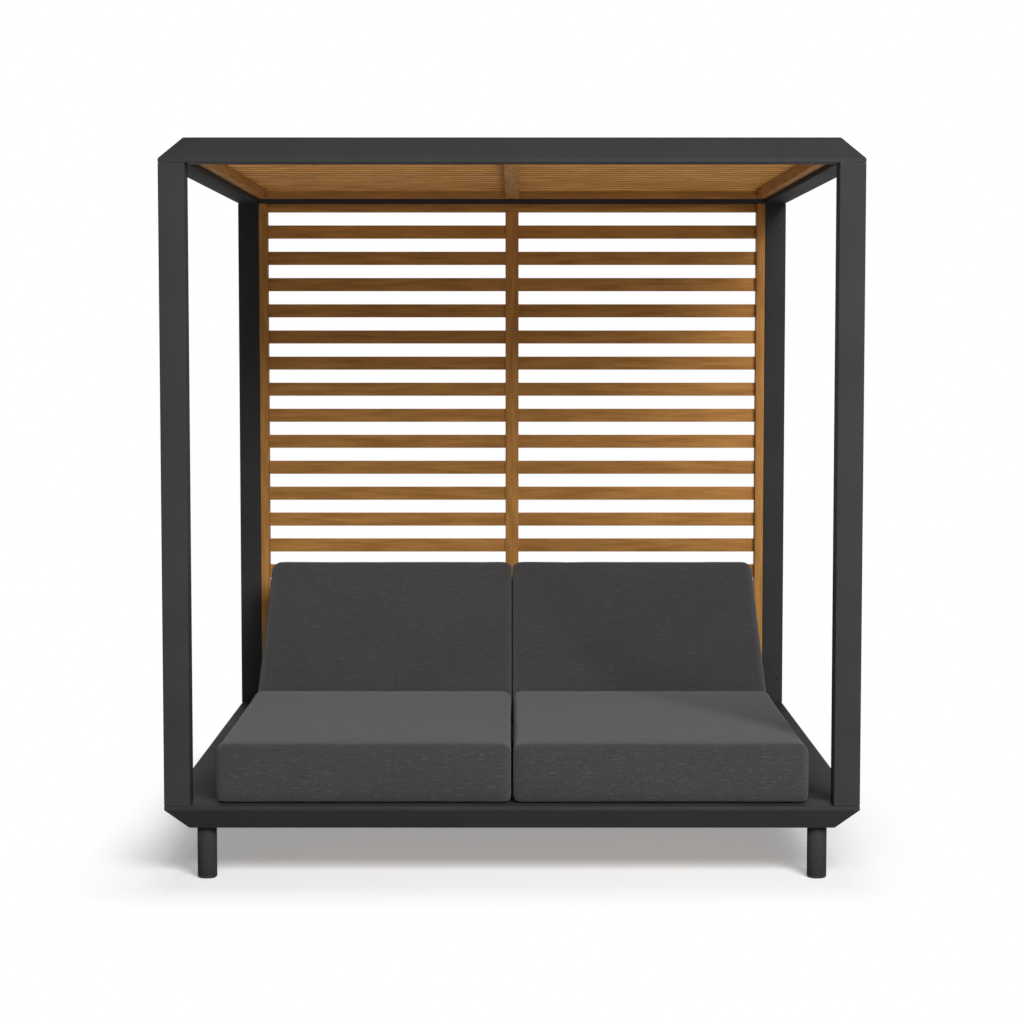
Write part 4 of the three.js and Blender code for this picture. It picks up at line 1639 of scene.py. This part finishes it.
def values_of(items: bpy.types.bpy_prop_collection, name: str) -> np.ndarray:
    """Reads a vector property of a mesh's points or normals.

    Args:
        items: The points or the normals.
        name: The property.

    Returns:
        One row for each item.
    """
    flat = np.empty(len(items) * 3, np.float32)
    items.foreach_get(name, flat)
    return flat.reshape(-1, 3).astype(float)


def carried(points: np.ndarray, matrix: Matrix) -> np.ndarray:
    """Points moved by a matrix."""
    rows = np.array(matrix)
    return points @ rows[:3, :3].T + rows[:3, 3]


@dataclass
class Cushion:
    """One box cushion of foam in a sewn cover, lying on a platform or on a back frame."""

    shop: Workshop
    form: CushionForm
    fullness: Fullness
    side: Side
    node: str
    seed: int
    origin: Sequence[float] = (0.0, 0.0, 0.0)
    tilt: float = 0.0
    weave_shift: float = 0.37
    ripple_shift: PerAxis = (1.7, 0.9, 2.3)
    ripple_rough: float = 0.8
    ripple_gap: float = 2.0
    ripple_layers: int = 3

    def __post_init__(self) -> None:
        """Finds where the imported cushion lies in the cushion's own frame."""
        self.place = Matrix.Translation(self.origin) @ Matrix.Rotation(self.tilt, 4, "X")
        packed = self._inside(values_of(self.shop.frame["nodes"][self.node].data.vertices, "co"))
        self.low, self.high = packed.min(0), packed.max(0)
        self.middle = (self.low + self.high) / 2
        self.half = (self.high - self.low) / 2
        self.half[2] -= self.form.crown / 2

    def _inside(self, points: np.ndarray) -> np.ndarray:
        """Carries points into the cushion's own frame."""
        return carried(points, self.place.inverted())

    def _outside(self, points: np.ndarray) -> np.ndarray:
        """Carries points of the cushion's own frame into the model's."""
        return carried(points, self.place)

    def sew(self) -> Piece:
        """Makes the cover before it swells, with its cloth coordinates.

        Returns:
            The cover, a closed box of panels whose points lie on grid lines.
        """
        lines = [self._lines(half) for half in self.half]
        counts = [len(line) - 1 for line in lines]
        index: dict[tuple[int, ...], int] = {}
        faces: list[list[int]] = []
        panels: list[float] = []
        for axis in range(3):
            first, second = [other for other in range(3) if other != axis]
            for end, i, j in product((0, counts[axis]), range(counts[first]), range(counts[second])):
                quad = []
                for across, along in ((i, j), (i + 1, j), (i + 1, j + 1), (i, j + 1)):
                    key = (across, along)[:axis] + (end,) + (across, along)[axis:]
                    quad.append(index.setdefault(key, len(index)))
                    panels += (lines[first][across], lines[second][along])
                faces.append(quad)
        box = np.array([[line[number] for line, number in zip(lines, key)] for key in index])
        name = f"{self.node}_cover"
        mesh = bpy.data.meshes.new(name)
        mesh.from_pydata([tuple(point) for point in self._stuffed(box)], [], faces)
        offset = self.weave_shift * self.seed
        coordinates = mesh.uv_layers.new(name="cloth")
        coordinates.data.foreach_set("uv", [value + offset for value in panels])
        shape = bmesh.new()
        shape.from_mesh(mesh)
        bmesh.ops.recalc_face_normals(shape, faces=shape.faces)
        shape.to_mesh(mesh)
        shape.free()
        return link_mesh(name, mesh)

    def _lines(self, half: float) -> list[float]:
        """Places of the grid lines along one axis, closer together round the edges.

        Args:
            half: Half the cushion's size along the axis.

        Returns:
            The places, from one end to the other.
        """
        rounding = self.form.rounding
        steps = self.form.edge_steps
        flat = half - rounding
        count = max(2, round(2 * flat / self.form.cell))
        edge = [flat + rounding * math.tan(QUARTER_TURN / 2 * step / steps) for step in range(1, steps + 1)]
        middle = [-flat + 2 * flat * step / count for step in range(count + 1)]
        return [-value for value in reversed(edge)] + middle + edge

    def _stuffed(self, box: np.ndarray) -> np.ndarray:
        """Rounds, crowns and draws in a plain box, and puts it in place.

        Args:
            box: The box's points, with its middle at zero.

        Returns:
            The points in the model's frame.
        """
        form = self.form
        flat = np.clip(box, -(self.half - form.rounding), self.half - form.rounding)
        square = box - flat
        round_off = form.rounding / np.maximum(np.linalg.norm(square, axis=1, keepdims=True), MERGE_DISTANCE)
        settled = form.foot_share * np.clip(-square[:, 2:] / form.rounding, 0.0, 1.0)
        points = self._corners_rounded(flat + square * (settled + (1 - settled) * round_off))
        across = points[:, 0] / self.half[0]
        along = points[:, 1] / self.half[1]
        rise = (points[:, 2] / self.half[2] + 1) / 2
        crown = (1 - np.abs(across) ** form.crown_power) * (1 - np.abs(along) ** form.crown_power)
        points[:, 0] -= across * form.draw_in * (1 - along**2)
        points[:, 1] -= along * form.draw_in * (1 - across**2)
        points[:, 2] += self.half[2] + rise * form.crown * crown + self.low[2]
        points[:, :2] += self.middle[:2]
        return self._outside(points)

    def _corners_rounded(self, points: np.ndarray) -> np.ndarray:
        """Draws the upright corners in towards a quarter circle, seen from above.

        Args:
            points: The points, with the middle at zero. They are changed.

        Returns:
            The same points.
        """
        inner = self.half[:2] - self.form.corner_reach
        past = np.maximum(np.abs(points[:, :2]) - inner, 0.0)
        longest = past.max(1)
        length = np.maximum(np.linalg.norm(past, axis=1), MERGE_DISTANCE)
        share = 1 + self.form.corner_share * (longest / length - 1)
        share = np.where(past.min(1) > 0, share, 1.0)[:, None]
        drawn = np.where(past > 0, inner + past * share, np.abs(points[:, :2]))
        points[:, :2] = np.sign(points[:, :2]) * drawn
        return points

    def finish(self, piece: Piece, swollen: np.ndarray | None) -> None:
        """Caps the swelling, fits the cushion over its packed form and places it.

        Args:
            piece: The cover.
            swollen: Its points after the cloth ran, or nothing if it didn't.
        """
        mesh = piece.data
        sewn = values_of(mesh.vertices, "co")
        normals = values_of(mesh.vertex_normals, "vector")
        moved = normals * self.form.unswollen
        if swollen is not None:
            moved = swollen - sewn
            length = np.linalg.norm(moved, axis=1, keepdims=True)
            moved *= self.form.swell_limit / (self.form.swell_limit + length)
        points = sewn + moved + normals * self._ripples(sewn)[:, None]
        points = self._outside(self._fitted(self._inside(points)))
        mesh.vertices.foreach_set("co", points.astype(np.float32).ravel())
        mesh.update()
        smooth = piece.modifiers.new("smooth", "SUBSURF")
        smooth.levels = 1
        smooth.render_levels = 1
        settle(piece).data.shade_smooth()
        self.shop.finish(piece, Slot.FABRIC, self.shop.palette.fabric, self.node)

    def _ripples(self, points: np.ndarray) -> np.ndarray:
        """Slight unevenness of a stuffed cover.

        Args:
            points: The cover's points.

        Returns:
            The height at each point.
        """
        scale = self.form.ripples_per_metre
        shift = Vector(self.ripple_shift) * self.seed
        layers = (self.ripple_rough, self.ripple_gap, self.ripple_layers)
        heights = [noise.fractal(Vector(point) * scale + shift, *layers) for point in points]
        return np.array(heights) * self.form.ripple_height

    def _fitted(self, points: np.ndarray) -> np.ndarray:
        """Stretches the cushion to its full size, with its underside and its inner flank pressed flat.

        Args:
            points: The points in the cushion's own frame. They are changed.

        Returns:
            The fitted points.
        """
        points[:, 2] = np.maximum(points[:, 2], self.low[2])
        below, above = self.fullness.reach(self.side)
        low = self.low - below - self.middle
        high = self.high + above - self.middle
        away = points - self.middle
        away *= np.where(away < 0, low / away.min(0), high / away.max(0))
        inward = -self.side.value
        reach = inward * (high if inward > 0 else low)[0]
        inner = inward * away[:, 0]
        inner += self.form.pressed * np.maximum(inner, 0.0) / reach
        front = np.clip(away[:, 2] / high[2], 0.0, 1.0)
        away[:, 0] = inward * np.minimum(inner, reach - self.form.parting * front)
        return self.middle + away


@dataclass
class Cushions:
    """The two seat cushions and the two back cushions."""

    shop: Workshop
    seat_form: CushionForm = CushionForm()
    back_form: CushionForm = CushionForm(
        corner_reach=52 * MILLIMETRE,
        corner_share=0.35,
        crown=5 * MILLIMETRE,
        draw_in=0.0,
        pressed=4 * MILLIMETRE,
        parting=3 * MILLIMETRE,
    )
    seat_fullness: Fullness = Fullness(foot=1 * MILLIMETRE, head=1 * MILLIMETRE, top=3 * MILLIMETRE)
    back_fullness: Fullness = Fullness(7 * MILLIMETRE, 5.65 * MILLIMETRE, head=-3.5 * MILLIMETRE)
    recline: float = math.radians(35.0)
    seat_seed: int = 5
    back_seed: int = 11

    def build(self) -> None:
        """Sews the four covers, swells them together and finishes them."""
        cushions = [make(side) for side in Side for make in (self._seat, self._back)]
        covers = [cushion.sew() for cushion in cushions]
        swollen = ClothRun().swell(covers)
        for cushion, cover, points in zip(cushions, covers, swollen):
            cushion.finish(cover, points)

    def _seat(self, side: Side) -> Cushion:
        """The level cushion of one half."""
        node, seed = f"seat_cushion_{side.label}", self.seat_seed + side.value
        return Cushion(self.shop, self.seat_form, self.seat_fullness, side, node, seed)

    def _back(self, side: Side) -> Cushion:
        """The reclined cushion of one half, in the frame of its hinge.

        Args:
            side: The half.

        Returns:
            The cushion, still to be sewn.
        """
        node, seed = f"back_cushion_{side.label}", self.back_seed + side.value
        hinge = self.shop.joint_place(f"back_{side.label}")
        form, fullness = self.back_form, self.back_fullness
        return Cushion(self.shop, form, fullness, side, node, seed, hinge, self.recline)


@dataclass(frozen=True)
class Softbox:
    """One square area light, aimed at the middle of the daybed.

    Azimuth is measured in degrees from the front towards the right, elevation from the level.
    """

    name: str
    azimuth: float
    elevation: float
    power: float
    distance: float = 8.0
    size: float = 3.0
    target: PerAxis = (0.0, 0.0, 1.0)

    def build(self) -> None:
        """Hangs the light."""
        turn, rise = math.radians(self.azimuth), math.radians(self.elevation)
        level = math.cos(rise)
        way = Vector((math.sin(turn) * level, -math.cos(turn) * level, math.sin(rise)))
        lamp = bpy.data.lights.new(self.name, "AREA")
        lamp.shape = "SQUARE"
        lamp.size = self.size
        lamp.energy = self.power
        light = bpy.data.objects.new(self.name, lamp)
        light.location = Vector(self.target) + way * self.distance
        light.rotation_euler = (-way).to_track_quat("-Z", "Y").to_euler()
        bpy.context.scene.collection.objects.link(light)


@dataclass
class Studio:
    """Pale floor, soft level light and the camera."""

    camera_place: PerAxis = (0.0, -7.899, 1.559)
    camera_pitch: float = math.radians(4.015)
    lens: float = 84.85
    sensor: float = 36.0
    floor_half: float = 40.0
    floor_tone: Colour = (0.81, 0.82, 0.828, 1.0)
    floor_glow: float = 0.33
    footprint: PerAxis = (1.0, 1.04, 0.0)
    fade_start: float = 0.02
    fade_end: float = 0.30
    ambient: float = 0.03
    lights: Sequence[Softbox] = (
        Softbox("front", 0.0, 28.0, 170.0, distance=9.0),
        Softbox("key", 21.0, 28.0, 650.0, distance=9.0),
        Softbox("rear", 180.0, 35.0, 330.0),
    )

    def build(self) -> None:
        """Sets up floor, world, lights, camera and view."""
        self._floor()
        self._world()
        for light in self.lights:
            light.build()
        self._camera()
        bpy.context.scene.view_settings.view_transform = "Standard"

    @staticmethod
    def _seen(sketch: NodeSketch) -> Socket:
        """Tells what the camera sees from what lights the scene.

        Args:
            sketch: The tree to draw in.

        Returns:
            1 for rays from the camera or through a mirror or glass, and otherwise 0.
        """
        rays = sketch.add("ShaderNodeLightPath").outputs
        seen = sketch.math("MAXIMUM", rays["Is Camera Ray"], rays["Is Glossy Ray"])
        return sketch.math("MAXIMUM", seen, rays["Is Transmission Ray"])

    def _camera(self) -> None:
        """Puts the camera at the photograph's angle."""
        lens = bpy.data.cameras.new("camera")
        lens.lens = self.lens
        lens.sensor_width = self.sensor
        camera = bpy.data.objects.new("camera", lens)
        camera.location = self.camera_place
        camera.rotation_euler = (QUARTER_TURN - self.camera_pitch, 0.0, 0.0)
        bpy.context.scene.collection.objects.link(camera)
        bpy.context.scene.camera = camera

    def _world(self) -> None:
        """Even light from all round, and white where the camera sees past the floor."""
        world = bpy.data.worlds.new("studio")
        bpy.context.scene.world = world
        sketch = empty_sketch(world)
        strength = sketch.remap(self._seen(sketch), 0.0, 1.0, self.ambient, 1.0)
        background = sketch.add("ShaderNodeBackground", {"Color": WHITE, "Strength": strength})
        sketch.add("ShaderNodeOutputWorld", {"Surface": background.outputs[0]})

    def _floor(self) -> None:
        """A pale floor that keeps the shadow and fades to white away from the bed."""
        half = self.floor_half
        mesh = bpy.data.meshes.new("floor")
        corners = [(-half, -half, 0.0), (half, -half, 0.0), (half, half, 0.0), (-half, half, 0.0)]
        mesh.from_pydata(corners, [], [(0, 1, 2, 3)])
        material = bpy.data.materials.new("studio_floor")
        sketch = empty_sketch(material)
        seen = self._seen(sketch)
        place = sketch.vector("ABSOLUTE", sketch.place())
        outside = sketch.vector("MAXIMUM", sketch.vector("SUBTRACT", place, self.footprint), (0.0,) * 3)
        fade = sketch.remap(sketch.measure("LENGTH", outside), self.fade_start, self.fade_end)
        matt = sketch.add("ShaderNodeBsdfDiffuse", {"Color": self.floor_tone}).outputs[0]
        glow = {"Strength": sketch.math("MULTIPLY", seen, self.floor_glow)}
        glowing = sketch.add("ShaderNodeEmission", glow).outputs[0]
        near = sketch.add("ShaderNodeAddShader", {0: matt, 1: glowing}).outputs[0]
        white = sketch.add("ShaderNodeEmission", {"Strength": 1.0}).outputs[0]
        share = sketch.math("MULTIPLY", seen, fade)
        mixed = sketch.add("ShaderNodeMixShader", {0: share, 1: near, 2: white}).outputs[0]
        sketch.add("ShaderNodeOutputMaterial", {"Surface": mixed})
        mesh.materials.append(material)
        link_mesh("floor", mesh)


def main() -> None:
    """Loads the frame and dresses the daybed round it, one sub-assembly after the other."""
    logging.basicConfig(level=logging.INFO, format="%(message)s")
    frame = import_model()
    Studio().build()
    shop = Workshop(frame, Palette())
    CoatedFrame(shop).build()
    Legs(shop).build()
    slat_tree = SlatTree()
    roof = {
        Grain.ALONG_Y: ("rail_left", "rail_right", "rail_centre"),
        Grain.ALONG_X: ("rail_front", "rail_rear"),
    }
    screen = {
        Grain.ALONG_Z: ("stile_left", "stile_right", "stile_centre"),
        Grain.ALONG_X: ("rail_bottom", "rail_top"),
    }
    TimberLattice(shop, slat_tree, "roof", roof, slat_count=19, upright=False, seed=21).build()
    TimberLattice(shop, slat_tree, "screen", screen, slat_count=18, upright=True, seed=34).build()
    BedInterior(shop).build()
    PostScrews(shop).build()
    for side in Side:
        Prop(shop, side).build()
    Cushions(shop).build()


if __name__ == "__main__":
    main()
